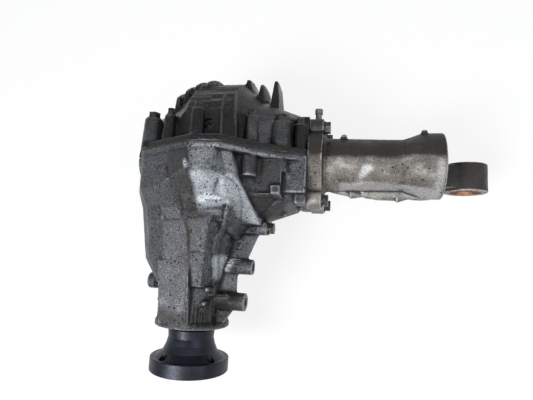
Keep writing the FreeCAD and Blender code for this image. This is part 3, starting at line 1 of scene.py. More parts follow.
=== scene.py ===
# %% [markdown]
# A used front differential lies on a pale table and is seen from above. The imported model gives
# every solid its place. This script dresses those solids: the three castings get the soft edges
# and rough skin of real foundry work, and every piece gets a material of its own.

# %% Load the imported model
import bpy
import json
import math
import numpy as np
from mathutils import Matrix, Vector

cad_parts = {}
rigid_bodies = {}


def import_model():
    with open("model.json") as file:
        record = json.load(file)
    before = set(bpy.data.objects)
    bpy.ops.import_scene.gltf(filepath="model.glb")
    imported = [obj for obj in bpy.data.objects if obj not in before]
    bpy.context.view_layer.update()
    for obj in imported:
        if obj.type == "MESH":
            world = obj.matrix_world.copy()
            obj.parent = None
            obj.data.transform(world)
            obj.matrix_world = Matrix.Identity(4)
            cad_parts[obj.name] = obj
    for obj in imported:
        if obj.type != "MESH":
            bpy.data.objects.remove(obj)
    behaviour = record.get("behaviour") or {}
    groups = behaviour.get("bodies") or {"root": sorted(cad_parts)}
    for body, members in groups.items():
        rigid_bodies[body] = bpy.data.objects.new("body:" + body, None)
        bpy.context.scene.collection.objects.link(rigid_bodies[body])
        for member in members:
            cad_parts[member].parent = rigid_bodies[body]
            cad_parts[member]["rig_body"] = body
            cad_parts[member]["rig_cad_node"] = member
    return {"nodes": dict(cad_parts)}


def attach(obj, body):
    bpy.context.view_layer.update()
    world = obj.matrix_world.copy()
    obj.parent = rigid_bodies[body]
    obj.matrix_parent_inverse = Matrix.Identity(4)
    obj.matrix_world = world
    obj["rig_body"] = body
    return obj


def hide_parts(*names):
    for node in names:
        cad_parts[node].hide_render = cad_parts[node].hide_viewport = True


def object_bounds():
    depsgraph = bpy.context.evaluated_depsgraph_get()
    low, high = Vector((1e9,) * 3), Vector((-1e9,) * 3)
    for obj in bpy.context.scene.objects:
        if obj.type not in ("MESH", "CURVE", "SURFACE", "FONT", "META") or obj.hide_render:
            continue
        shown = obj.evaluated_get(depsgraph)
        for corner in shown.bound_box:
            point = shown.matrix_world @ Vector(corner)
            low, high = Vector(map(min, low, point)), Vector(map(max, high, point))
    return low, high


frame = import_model()
cad_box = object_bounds()
nodes = frame["nodes"]

# %% [markdown]
# The photograph was taken by hand from above, a little to the right of the pinion, with a short
# lens. The camera is given by its place, the way it looks and a small roll.

# %% Camera
MM = 0.001             # one millimetre in metres
FOCAL_PIXELS = 400     # fitted to the photograph, as are the place, the way it looks and the roll
PICTURE_WIDTH = 533
SENSOR = 36.0          # millimetres
camera_place = Vector((0.2794, -0.1115, 0.5072))
look = Vector((-0.2097, 0.1236, -0.9699)).normalized()
roll = math.radians(3.2)
level = look.cross(Vector((0, 1, 0))).normalized()
above = level.cross(look)
right = level * math.cos(roll) + above * math.sin(roll)
up = above * math.cos(roll) - level * math.sin(roll)
camera_data = bpy.data.cameras.new("camera")
camera_data.sensor_width = SENSOR
camera_data.lens = SENSOR * FOCAL_PIXELS / PICTURE_WIDTH
camera_data.clip_start = 0.01
camera = bpy.data.objects.new("camera", camera_data)
bpy.context.scene.collection.objects.link(camera)
turn = Matrix((right, up, -look)).transposed().to_4x4()
camera.matrix_world = Matrix.Translation(camera_place) @ turn
bpy.context.scene.camera = camera
print("lens:", round(camera_data.lens, 2), "mm")

# %% [markdown]
# Colours are written as the hex values of a paint chart, and the renderer wants linear light, so
# one function converts them. Another adds a shader node with its settings and links. It takes the
# inputs by number or name. A map range reads input 0 between 1 and 2 and gives 3 to 4, and a colour
# mix takes its share at 0 and its two colours at 6 and 7.

# %% Colour and node helpers
def paint(code):
    """A hex colour as linear red, green, blue and alpha."""
    parts = [int(code[i:i + 2], 16) / 255 for i in (1, 3, 5)]
    return [p / 12.92 if p <= 0.04045 else ((p + 0.055) / 1.055) ** 2.4 for p in parts] + [1.0]


def add(tree, kind, inputs=None, **settings):
    """Adds a node, gives it its settings, and sets or links its inputs."""
    node = tree.nodes.new(kind)
    for name, value in settings.items():
        setattr(node, name, value)
    for key, value in (inputs or {}).items():
        if isinstance(value, bpy.types.NodeSocket):
            tree.links.new(value, node.inputs[key])
        else:
            node.inputs[key].default_value = value
    return node


def new_material(name):
    """An empty material with its output node, its tree and its Object coordinates."""
    material = bpy.data.materials.new(name)
    material.use_nodes = True
    tree = material.node_tree
    tree.nodes.clear()
    output = tree.nodes.new("ShaderNodeOutputMaterial")
    place = tree.nodes.new("ShaderNodeTexCoord").outputs["Object"]
    return material, tree, output, place


print("linear mid grey:", round(paint("#808080")[0], 3))

# %% [markdown]
# The table is plain and pale. Seen by the camera or in a reflection it is mostly white, and under
# a fifth of its own shade is kept, so that it still shows the soft shadow under the object. The
# backdrop is white too, but lights the object as a dim and slightly blue room. A window on the
# pinion's left is the main lamp, and two weak ones fill the other sides.

# %% Table, backdrop and lamps
TABLE_SIZE = 30                         # metres, so that its edge is never seen
TABLE_MIDDLE = (0.2, -0.1)              # metres
TABLE_DROP = 0.001                      # metres below the object's lowest point
GLOW_SHARE = 0.82                       # of the table as the camera sees it; the rest is its shade
ROOM_LIGHT = 0.45                       # strength of the room's light from all sides
LAMP_AIM = Vector((0.17, -0.08, 0.0))   # the middle of the object
LAMPS = (("window_lamp", (-0.35, -0.75, 1.25), 24, 0.6),   # name, place, watts, width
         ("side_lamp", (1.2, -0.2, 0.9), 7, 0.9),
         ("front_lamp", (0.1, 1.1, 0.9), 2.5, 0.9))
bpy.ops.object.select_all(action="DESELECT")
bpy.ops.mesh.primitive_plane_add(
    size=TABLE_SIZE, location=(*TABLE_MIDDLE, cad_box[0][2] - TABLE_DROP))
table = bpy.context.active_object
table.name = "table"
table_paint, tree, output, place = new_material("white_table")
ray = add(tree, "ShaderNodeLightPath")
seen = add(tree, "ShaderNodeMath", operation="MAXIMUM",
           inputs={0: ray.outputs["Is Camera Ray"], 1: ray.outputs["Is Glossy Ray"]})
share = add(tree, "ShaderNodeMath", {0: seen.outputs[0], 1: GLOW_SHARE}, operation="MULTIPLY")
matt = add(tree, "ShaderNodeBsdfDiffuse", {"Color": paint("#e8e8e8")})
glow = add(tree, "ShaderNodeEmission", {"Color": paint("#ffffff"), "Strength": 1.0})
blend = add(tree, "ShaderNodeMixShader",
            {0: share.outputs[0], 1: matt.outputs[0], 2: glow.outputs[0]})
tree.links.new(blend.outputs[0], output.inputs["Surface"])
table.data.materials.append(table_paint)

world = bpy.data.worlds.new("studio")
bpy.context.scene.world = world
world.use_nodes = True
tree = world.node_tree
tree.nodes.clear()
ray = add(tree, "ShaderNodeLightPath")
seen = add(tree, "ShaderNodeMath", operation="MAXIMUM",
           inputs={0: ray.outputs["Is Camera Ray"], 1: ray.outputs["Is Transmission Ray"]})
room = add(tree, "ShaderNodeBackground", {"Color": paint("#dfe6ee"), "Strength": ROOM_LIGHT})
white = add(tree, "ShaderNodeBackground", {"Color": paint("#ffffff"), "Strength": 1.0})
blend = add(tree, "ShaderNodeMixShader",
            {0: seen.outputs[0], 1: room.outputs[0], 2: white.outputs[0]})
add(tree, "ShaderNodeOutputWorld", {"Surface": blend.outputs[0]})

for name, spot, watts, size in LAMPS:
    lamp_data = bpy.data.lights.new(name, "AREA")
    lamp_data.energy = watts
    lamp_data.size = size
    lamp = bpy.data.objects.new(name, lamp_data)
    lamp.location = spot
    lamp.rotation_euler = (LAMP_AIM - lamp.location).to_track_quat("-Z", "Y").to_euler()
    bpy.context.scene.collection.objects.link(lamp)
bpy.context.scene.view_settings.view_transform = "Standard"
print("lamps:", len(bpy.data.lights))

# %% [markdown]
# The housing, cover and tube are cast aluminium. Liquid metal leaves round corners and a grainy
# skin, where a solid from a drawing has sharp ones. So each casting is a copy of its solid, with
# the small cast details added to it, melted together by a voxel remesh and then smoothed. The
# details are posts, which are cones with rounded ends, and reliefs, which are strips that follow
# the casting's skin.

# %% Posts and reliefs
POST_SIDES = 28
POST_ROUND = 0.8      # millimetres, the rounding of a post's ends
START_HIGH = 0.3      # metres above the axle, where a relief lies before it is wrapped
RELIEF_STEP = 3       # millimetres, about the distance between a relief's points
RELIEF_ROOT = 5.0     # millimetres that a relief goes down into the casting
REACH = 0.119         # metres from the axle; what missed the casting or fell on a foot lies beyond


def deselect():
    """Leaves edit mode and selects nothing."""
    if bpy.context.mode != "OBJECT":
        bpy.ops.object.mode_set(mode="OBJECT")
    bpy.ops.object.select_all(action="DESELECT")


def settle(piece):
    """Puts a piece's place, turn and size into its mesh."""
    deselect()
    piece.select_set(True)
    bpy.context.view_layer.objects.active = piece
    bpy.ops.object.transform_apply(location=True, rotation=True, scale=True)
    return piece


def edge_length(piece, edge):
    """How long an edge of a mesh is, in metres."""
    first, second = (piece.data.vertices[i].co for i in edge.vertices)
    return (first - second).length


def post(name, radius, start, end, tip):
    """A round post from start to end in millimetres, with its far end of the radius tip."""
    first, last = Vector(start) * MM, Vector(end) * MM
    way = last - first
    deselect()
    bpy.ops.mesh.primitive_cone_add(
        vertices=POST_SIDES, radius1=radius * MM, radius2=tip * MM, depth=way.length,
        location=(first + last) / 2, rotation=way.to_track_quat("Z", "Y").to_euler())
    piece = bpy.context.active_object
    piece.name = name
    settle(piece)
    bpy.ops.object.mode_set(mode="EDIT")
    bpy.ops.mesh.select_all(action="SELECT")
    bpy.ops.mesh.bevel(offset=POST_ROUND * MM, segments=2, affect="EDGES")
    bpy.ops.object.mode_set(mode="OBJECT")
    return piece


def relief(name, node, rows, proud, side=1):
    """A cast panel or rib that follows a node's skin from above, or from below for side -1.

    rows gives the left and right end of each cross line as (x, y) in millimetres, and proud is
    how far the panel stands out.
    """
    high = START_HIGH * side
    spots = [[Vector((x * MM, y * MM, high)) for x, y in row] for row in rows]
    deselect()
    bpy.ops.mesh.primitive_plane_add(size=0.01, location=(0, 0, high))
    piece = bpy.context.active_object
    piece.name = name
    settle(piece)
    bpy.ops.object.mode_set(mode="EDIT")
    bpy.ops.mesh.select_mode(type="VERT")
    bpy.ops.mesh.select_all(action="DESELECT")
    bpy.ops.object.mode_set(mode="OBJECT")
    for vertex, spot in zip(piece.data.vertices, spots[0] + spots[1]):
        vertex.co = spot
    for vertex in piece.data.vertices:
        vertex.select = vertex.index in (2, 3)
    for before, after in zip(spots[1:], spots[2:]):
        bpy.ops.object.mode_set(mode="EDIT")
        bpy.ops.mesh.extrude_region_move(TRANSFORM_OT_translate={"value": after[0] - before[0]})
        bpy.ops.object.mode_set(mode="OBJECT")
        fresh = [vertex for vertex in piece.data.vertices if vertex.select]
        fresh.sort(key=lambda vertex: (vertex.co - after[0]).length)
        fresh[0].co, fresh[1].co = after
    longest = max(edge_length(piece, edge) for edge in piece.data.edges)
    bpy.ops.object.mode_set(mode="EDIT")
    bpy.ops.mesh.select_all(action="SELECT")
    bpy.ops.mesh.subdivide(number_cuts=max(2, int(longest / (RELIEF_STEP * MM))))
    bpy.ops.mesh.normals_make_consistent(inside=False)
    bpy.ops.object.mode_set(mode="OBJECT")
    wrap = piece.modifiers.new("wrap", "SHRINKWRAP")
    wrap.target = nodes[node]
    wrap.wrap_method = "PROJECT"
    wrap.use_project_z = True
    wrap.use_negative_direction = side > 0
    wrap.use_positive_direction = side < 0
    bpy.ops.object.modifier_apply(modifier="wrap")
    bpy.ops.object.mode_set(mode="EDIT")
    bpy.ops.mesh.select_all(action="DESELECT")
    bpy.ops.object.mode_set(mode="OBJECT")
    for vertex in piece.data.vertices:
        vertex.select = abs(vertex.co.z) > REACH
    bpy.ops.object.mode_set(mode="EDIT")
    bpy.ops.mesh.delete(type="VERT")
    bpy.ops.mesh.select_all(action="SELECT")
    bpy.ops.transform.translate(value=(0, 0, proud * side * MM))
    thick = (proud + RELIEF_ROOT) * side * MM
    bpy.ops.mesh.extrude_region_move(TRANSFORM_OT_translate={"value": (0, 0, -thick)})
    bpy.ops.mesh.select_all(action="SELECT")
    bpy.ops.mesh.normals_make_consistent(inside=False)
    bpy.ops.object.mode_set(mode="OBJECT")
    return piece


def ribbon(points, wide):
    """Cross lines of a rib of even width along (x, y) points."""
    rows = []
    for i, (x, y) in enumerate(points):
        ahead = Vector(points[min(i + 1, len(points) - 1)]) - Vector(points[max(i - 1, 0)])
        side = Vector((-ahead.y, ahead.x)).normalized() * wide / 2
        rows.append(((x - side.x, y - side.y), (x + side.x, y + side.y)))
    return rows


def outline_of(rows):
    """The closed outline of a ribbon, up one side and down the other."""
    return [row[0] for row in rows] + [row[1] for row in reversed(rows)]


print("posts are rounded by", POST_ROUND, "mm")

# %% [markdown]
# The second helper melts a copy of a solid and its details together. The remesh gives one skin of
# small squares, the smoothing rounds every edge by about two of them, and a cloud of soft lumps
# takes away the last of the drawing's evenness.

# %% Melting a casting together
WELD = 0.00001        # metres, points nearer than this become one
SOFT_ROUNDS = 4       # rounds of smoothing
LUMP_WIDTH = 7        # millimetres across a lump of the skin


def casting(name, node, details, voxel, grain):
    """A node's copy melted with its details: squares of voxel and lumps of grain millimetres."""
    deselect()
    piece = nodes[node].copy()
    piece.data = nodes[node].data.copy()
    piece.name = name
    piece.parent = None
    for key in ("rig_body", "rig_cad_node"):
        if key in piece:
            del piece[key]
    bpy.context.scene.collection.objects.link(piece)
    for item in [piece] + details:
        item.select_set(True)
    bpy.context.view_layer.objects.active = piece
    bpy.ops.object.join()
    bpy.ops.object.mode_set(mode="EDIT")
    bpy.ops.mesh.select_all(action="SELECT")
    bpy.ops.mesh.remove_doubles(threshold=WELD)
    bpy.ops.object.mode_set(mode="OBJECT")
    piece.data.remesh_voxel_size = voxel * MM
    bpy.ops.object.voxel_remesh()
    bpy.ops.object.modifier_add(type="SMOOTH")
    piece.modifiers[-1].factor = 0.5
    piece.modifiers[-1].iterations = SOFT_ROUNDS
    bpy.ops.object.modifier_apply(modifier=piece.modifiers[-1].name)
    lumps = bpy.data.textures.new(name + "_lumps", "CLOUDS")
    lumps.noise_scale = LUMP_WIDTH * MM
    bpy.ops.object.modifier_add(type="DISPLACE")
    piece.modifiers[-1].texture = lumps
    piece.modifiers[-1].texture_coords = "GLOBAL"
    piece.modifiers[-1].strength = grain * MM
    bpy.ops.object.modifier_apply(modifier=piece.modifiers[-1].name)
    bpy.ops.object.shade_smooth()
    piece.data.materials.clear()
    return piece


print("smoothing rounds:", SOFT_ROUNDS)

# %% [markdown]
# The third helper stores what the material needs to know on the points of a casting: how far each
# stands out from its neighbours, how much of it is made pale by wear and by painted highlights, and
# how much dark by soil and by painted shadows. Regions are outlines on the upper side, each with its
# strength and the rounds by which its border is softened.

# %% Wear, soil and painted light marks
NEAR = 3              # rounds of neighbours that a point is compared with


def mark_wear_and_light(piece, wear_and_highlight=(), soil_and_shade=()):
    """Stores on a casting's points how far each stands out, its wear and painted highlights, and its
    soil and painted shadows.
    """
    mesh = piece.data
    count = len(mesh.vertices)
    places = np.zeros(count * 3)
    normals = np.zeros(count * 3)
    pairs = np.zeros(len(mesh.edges) * 2, dtype=np.int64)
    mesh.vertices.foreach_get("co", places)
    mesh.vertices.foreach_get("normal", normals)
    mesh.edges.foreach_get("vertices", pairs)
    places = places.reshape(-1, 3) / MM
    normals = normals.reshape(-1, 3)
    pairs = pairs.reshape(-1, 2)

    def spread(values, rounds):
        """Each point takes the mean of its neighbours, a number of times."""
        for _ in range(rounds):
            total = np.zeros(values.shape)
            number = np.zeros(count)
            for a, b in ((0, 1), (1, 0)):
                np.add.at(total, pairs[:, a], values[pairs[:, b]])
                np.add.at(number, pairs[:, a], 1)
            values = total / np.maximum(number, 1).reshape([-1] + [1] * (values.ndim - 1))
        return values

    def inside(outline):
        """Which points of the upper side lie within an outline of (x, y) corners."""
        crossed = np.zeros(count, dtype=bool)
        x, y = places[:, 0], places[:, 1]
        for (ax, ay), (bx, by) in zip(outline, outline[1:] + outline[:1]):
            between = (ay > y) != (by > y)
            crossed ^= between & (x < (bx - ax) * (y - ay) / (by - ay + 1e-9) + ax)
        return crossed & (places[:, 2] > 0)

    marks = {"raised": np.einsum("ij,ij->i", places - spread(places, NEAR), normals)}
    for name, regions in (("wear_and_highlight", wear_and_highlight), ("soil_and_shade", soil_and_shade)):
        level = np.zeros(count)
        for outline, strength, softening in regions:
            level = np.maximum(level, spread(strength * inside(outline), softening))
        marks[name] = level
    for name, values in marks.items():
        layer = mesh.attributes.new(name, "FLOAT", "POINT")
        layer.data.foreach_set("value", values.astype(np.float32))


print("marks compare", NEAR, "rounds of neighbours")

# %% [markdown]
# On the real housing the pattern maker's parting line runs down the top as a thin raised seam, a
# curved rib swings from the bright shoulder to the neck, and flat raised panels lie on both sides
# of the seam. Each is a strip of plane, extruded along its path, wrapped onto the casting from
# above and given a thickness, as one would lay a strip of wax on a pattern. The underside, which
# the picture doesn't show, gets the same seam and panels.

# %% Housing panels and ribs
seam = [(104.5, -4), (105.1, -28), (106, -57), (107.1, -67), (90.6, -75), (87, -82), (93.7, -92),
        (94.2, -117), (93.2, -140), (88, -206)]
swing = [(147, -60), (140, -72), (134, -83.5), (128, -95), (124.7, -103), (122.1, -122), (119.6, -151),
         (117.2, -171)]
case_details = []
for side in (1, -1):
    tag = "top" if side > 0 else "under"
    case_details += [
        relief("seam_" + tag, "case", ribbon(seam, 1.6), 0.9, side=side),
        relief("swing_rib_" + tag, "case", ribbon(swing, 4.2), 3.4, side=side),
        relief("seam_panel_" + tag, "case", [((92, -80), (117, -78)), ((93, -100), (118, -98)),
                                             ((94, -118), (116, -118))], 1.6, side=side),
        relief("left_panel_" + tag, "case", [((52, -25), (72, -24)), ((56, -48), (83, -48)),
                                             ((58, -82), (84, -81))], 1.8, side=side),
        relief("left_band_" + tag, "case", [((76, -8), (102, -9)), ((78, -40), (103, -40)),
                                            ((80, -69), (99, -69))], 1.2, side=side),
    ]
print("panels and ribs:", len(case_details))

# %% [markdown]
# The right side carries small cast features: a lug, a ledge, an arc and a dimple beside the
# bearing, a gusset above the side bolt with a stub below it, a seam on the wall, thin ribs on the
# shelf and round the neck, and small stubs where the casting was pushed out of its mould.

# %% Small features on the right side
case_details += [
    relief("bearing_ledge", "case", ribbon([(164, -49), (177, -49), (191, -48)], 3.0), 2.6),
    relief("bearing_lug", "case", [((187.5, -38), (199, -38)), ((189, -51), (199, -51))], 5.0),
    relief("bearing_arc", "case", ribbon([(203, -22), (205, -15), (211, -11), (219, -10)], 2.2), 1.4),
    relief("bearing_dimple", "case", [((203, -28), (209, -28)), ((203, -22), (209, -22))], 1.5),
    relief("bolt_gusset", "case", ribbon([(170, -76), (183, -64), (197, -52)], 3.4), 4.0),
    relief("wall_seam", "case", ribbon([(199, -2), (199, -44)], 1.4), 0.7),
    relief("neck_ring", "case", ribbon([(104, -187), (112, -187.5), (118, -187)], 2.2), 1.4),
    relief("shelf_rib", "case", ribbon([(112, -169.5), (122, -169), (134, -168)], 2.6), 2.6),
    post("stub_top", 3.2, (114, -162, 38), (114, -162, 50), 2.4),
    post("stub_low", 3.0, (110, -179, 34), (110, -179, 47), 2.2),
    post("gusset_stub", 4.6, (178, -63, 15), (200, -66, 15), 4.0),
    post("stub_left", 3.4, (46, -181, 14), (34, -183, 10), 2.6),
]
print("details in the housing casting:", len(case_details))

# %% [markdown]
# Now the details and a copy of the solid become one casting. The bright facet and the pale spots on
# the shoulder's edge and the bulge are painted highlights, where these faces catch the lamp, and the
# band right of the ridge is a painted shadow. Together with wear on the rim, a pale chip and darker
# patches in the hollows, they are stored on its points as two marks. The remeshed skin has a thin
# upright blade, one square wide, across the hollow inside near x 105 and y -48 mm. No view from
# outside shows it.

# %% Housing casting
facet = [(106, -30), (150, -30), (163, -56), (173, -84), (150, -76), (146, -63), (107, -69)]
upper_facet = [(105, -3), (150, -3), (158, -31), (106, -31)]
bulge = [(119, -122), (137, -120), (141, -128), (124, -154), (118, -150)]
shoulder_edge = [(146, -36), (154, -34), (176, -84), (160, -80)]
white_chip = [(99.5, -19), (104, -19), (104.5, -27), (100.5, -27)]
rim_line = [(106, -2), (150, -2), (198, -5), (198, -8), (150, -5), (106, -5)]
# each region is an outline, its strength and the rounds of softening
# the facet, upper facet, bulge and shoulder edge are painted highlights, pale where they face the lamp;
# the chip and the rim line are wear
case_wear_and_highlights = ((facet, 1.0, 6), (upper_facet, 0.4, 6), (bulge, 0.9, 5), (shoulder_edge, 1.0, 4),
               (white_chip, 1.6, 1), (rim_line, 0.8, 2))
# a painted shadow: the dark band just right of the bright ridge, stored with the soil
ridge_shadow = [(151, -13), (155, -13), (162, -33), (168, -51), (178, -83), (174, -83), (164, -51),
                (158, -33)]
left_of_seam = [(74, -3), (104, -3), (106, -66), (92, -72), (78, -60)]
neck_end = [(30, -184), (95, -192), (140, -184), (140, -206), (30, -206)]
shelf = [(107, -164), (146, -164), (150, -186), (107, -186)]
over_bearing = [(156, -3), (199, -3), (199, -49), (164, -49)]
under_ledge = [(166, -50), (200, -50), (200, -76), (174, -84)]
below_shoulder = [(140, -86), (156, -84), (150, -108), (134, -124)]
neck_flank = [(134, -104), (150, -104), (140, -164), (124, -164)]
behind_flange = [(97, -183), (134, -186), (134, -207), (99, -209)]
# ridge_shadow is a painted shadow; the other regions are darker patches, and the last is a dark line
# along the seam
case_soil_and_shades = ((left_of_seam, 0.55, 5), (neck_end, 0.9, 5), (shelf, 0.9, 4), (over_bearing, 0.55, 5),
               (under_ledge, 0.7, 5), (below_shoulder, 0.6, 5), (neck_flank, 0.4, 5),
               (behind_flange, 1.0, 2), (ridge_shadow, 1.0, 2),
               (outline_of(ribbon(seam, 2.6)), 1.0, 1))
case = casting("case_casting", "case", case_details, voxel=1.95, grain=0.5)
mark_wear_and_light(case, case_wear_and_highlights, case_soil_and_shades)
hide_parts("case")
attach(case, "housing")
print("case faces:", len(case.data.polygons))

# %% [markdown]
# The cover shows two thin ribs that run up its dome between the bolt bosses. They are strips too,
# wrapped onto the dome from above, and their edges are rubbed a little paler than the dome.

# %% Cover casting
cover_details = []
rib_edges = []
for name, x in (("dome_rib_left", 136.5), ("dome_rib_right", 149.5)):
    path = [(x, 10), (x - 1.5, 33), (x - 4, 52), (x - 7, 70)]
    cover_details.append(relief(name, "cover", ribbon(path, 2.6), 2.0))
    rib_edges.append((outline_of(ribbon(path, 3.0)), 0.42, 1))
cover = casting("cover_casting", "cover", cover_details, voxel=1.7, grain=0.5)
dome_soil = [(112, 12), (158, 12), (150, 60), (140, 78), (112, 78)]
bosses = [(0, 8), (205, 8), (205, 44), (160, 50), (160, 12), (60, 12), (60, 50), (0, 50)]
mark_wear_and_light(cover, wear_and_highlight=[(bosses, 0.45, 4)] + rib_edges, soil_and_shade=[(dome_soil, 0.7, 6)])
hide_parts("cover")
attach(cover, "housing")
print("cover faces:", len(cover.data.polygons))

# %% [markdown]
# The tube has a small lug on top, a lump and a thin ring at the collar, the mould's line along it
# and a ragged rib of flash on its lower edge, where the metal ran into the joint of the mould. The
# flash is a row of beads that start thin, middling or thick and end the other way.

# %% Tube casting
BEAD_THIN = 2.8        # millimetres, the smallest radius that a bead of flash starts with
BEAD_STEP = 1.5        # millimetres from one of the three radii to the next
BEAD_ENDS = 7.2        # millimetres, a bead's two radii together
tube_details = [
    post("tube_lug", 4.6, (267, 28, 12), (267, 35.5, 16), 3.6),
    post("collar_lump", 4.5, (361, 30, 16), (361, 40.5, 18), 3.5),
    relief("mould_line", "axle_tube", ribbon([(246, 3.5), (290, 2.5), (330, 2), (346, 2)], 1.3), 0.7),
    relief("collar_ring", "axle_tube", ribbon([(341, 26), (341, 0), (341, -26)], 2.0), 0.8),
    relief("flash_upper", "axle_tube",
           ribbon([(258, -25), (285, -28), (306, -25), (330, -27), (352, -31)], 3.4), 2.0),
]
flash = [(245, -30, 0), (262, -33, 1), (276, -37, 0), (293, -38.5, 1), (312, -39, -1), (331, -40.5, 0),
         (347, -39.5, 1), (362, -38, 0), (378, -37, 0)]
for number, (start, end) in enumerate(zip(flash, flash[1:])):
    wide = BEAD_THIN + BEAD_STEP * (number % 3)
    tube_details.append(post(f"flash_bead_{number}", wide, start, end, BEAD_ENDS - wide))
tube = casting("tube_casting", "axle_tube", tube_details, voxel=1.6, grain=0.6)
streak = [(290, -5), (301, -4), (304, -10), (292, -20), (284, -22), (288, -12)]
flash_band = [(262, -26), (300, -24), (340, -27), (380, -32), (380, -42), (262, -38)]
collar_edge = [(371, 2), (381, 0), (381, -40), (366, -40), (372, -18)]
collar_shade = [(352, 6), (366, 6), (362, -34), (346, -30)]
# collar_shade is a painted shade, darkening the tube beside the collar, stored with the soil
mark_wear_and_light(tube, wear_and_highlight=[(streak, 0.8, 3), (flash_band, 0.5, 4), (collar_edge, 0.55, 3)],
          soil_and_shade=[(collar_shade, 0.35, 6)])
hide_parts("axle_tube")
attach(tube, "housing")
print("tube faces:", len(tube.data.polygons))

# %% [markdown]
# Sand cast aluminium that has run under a vehicle is a dull metal under oil and road dirt. The
# paint is laid in the order in which a real surface gets it: the grey skin of the mould, stains
# and chalky bloom 28 mm wide, a pale and dark speckle with grains of 1.4 to 2 mm, an oil coat on the
# tube, soil in the hollows together with painted shadows, bare metal where edges stand out or cloths
# have rubbed together with painted highlights where faces catch the lamp, and last a darkening of
# inner corners and dirt in pits 5.5 mm apart. The noise is three dimensional and read from Object
# coordinates, so no seam shows, and the marks come from the mesh's own attributes.

# %% Cast aluminium
PATCH_WIDTH = 28       # millimetres, stains and bloom
PIT_SPACING = 5.5      # millimetres
EDGE_FROM = 0.28       # millimetres that a point stands out before it is polished
EDGE_FULL = EDGE_FROM + 0.45   # where it is polished most
BARE_METAL = 0.55      # metallic share where the metal is bare
BUMP_HEIGHT = 0.8      # millimetres


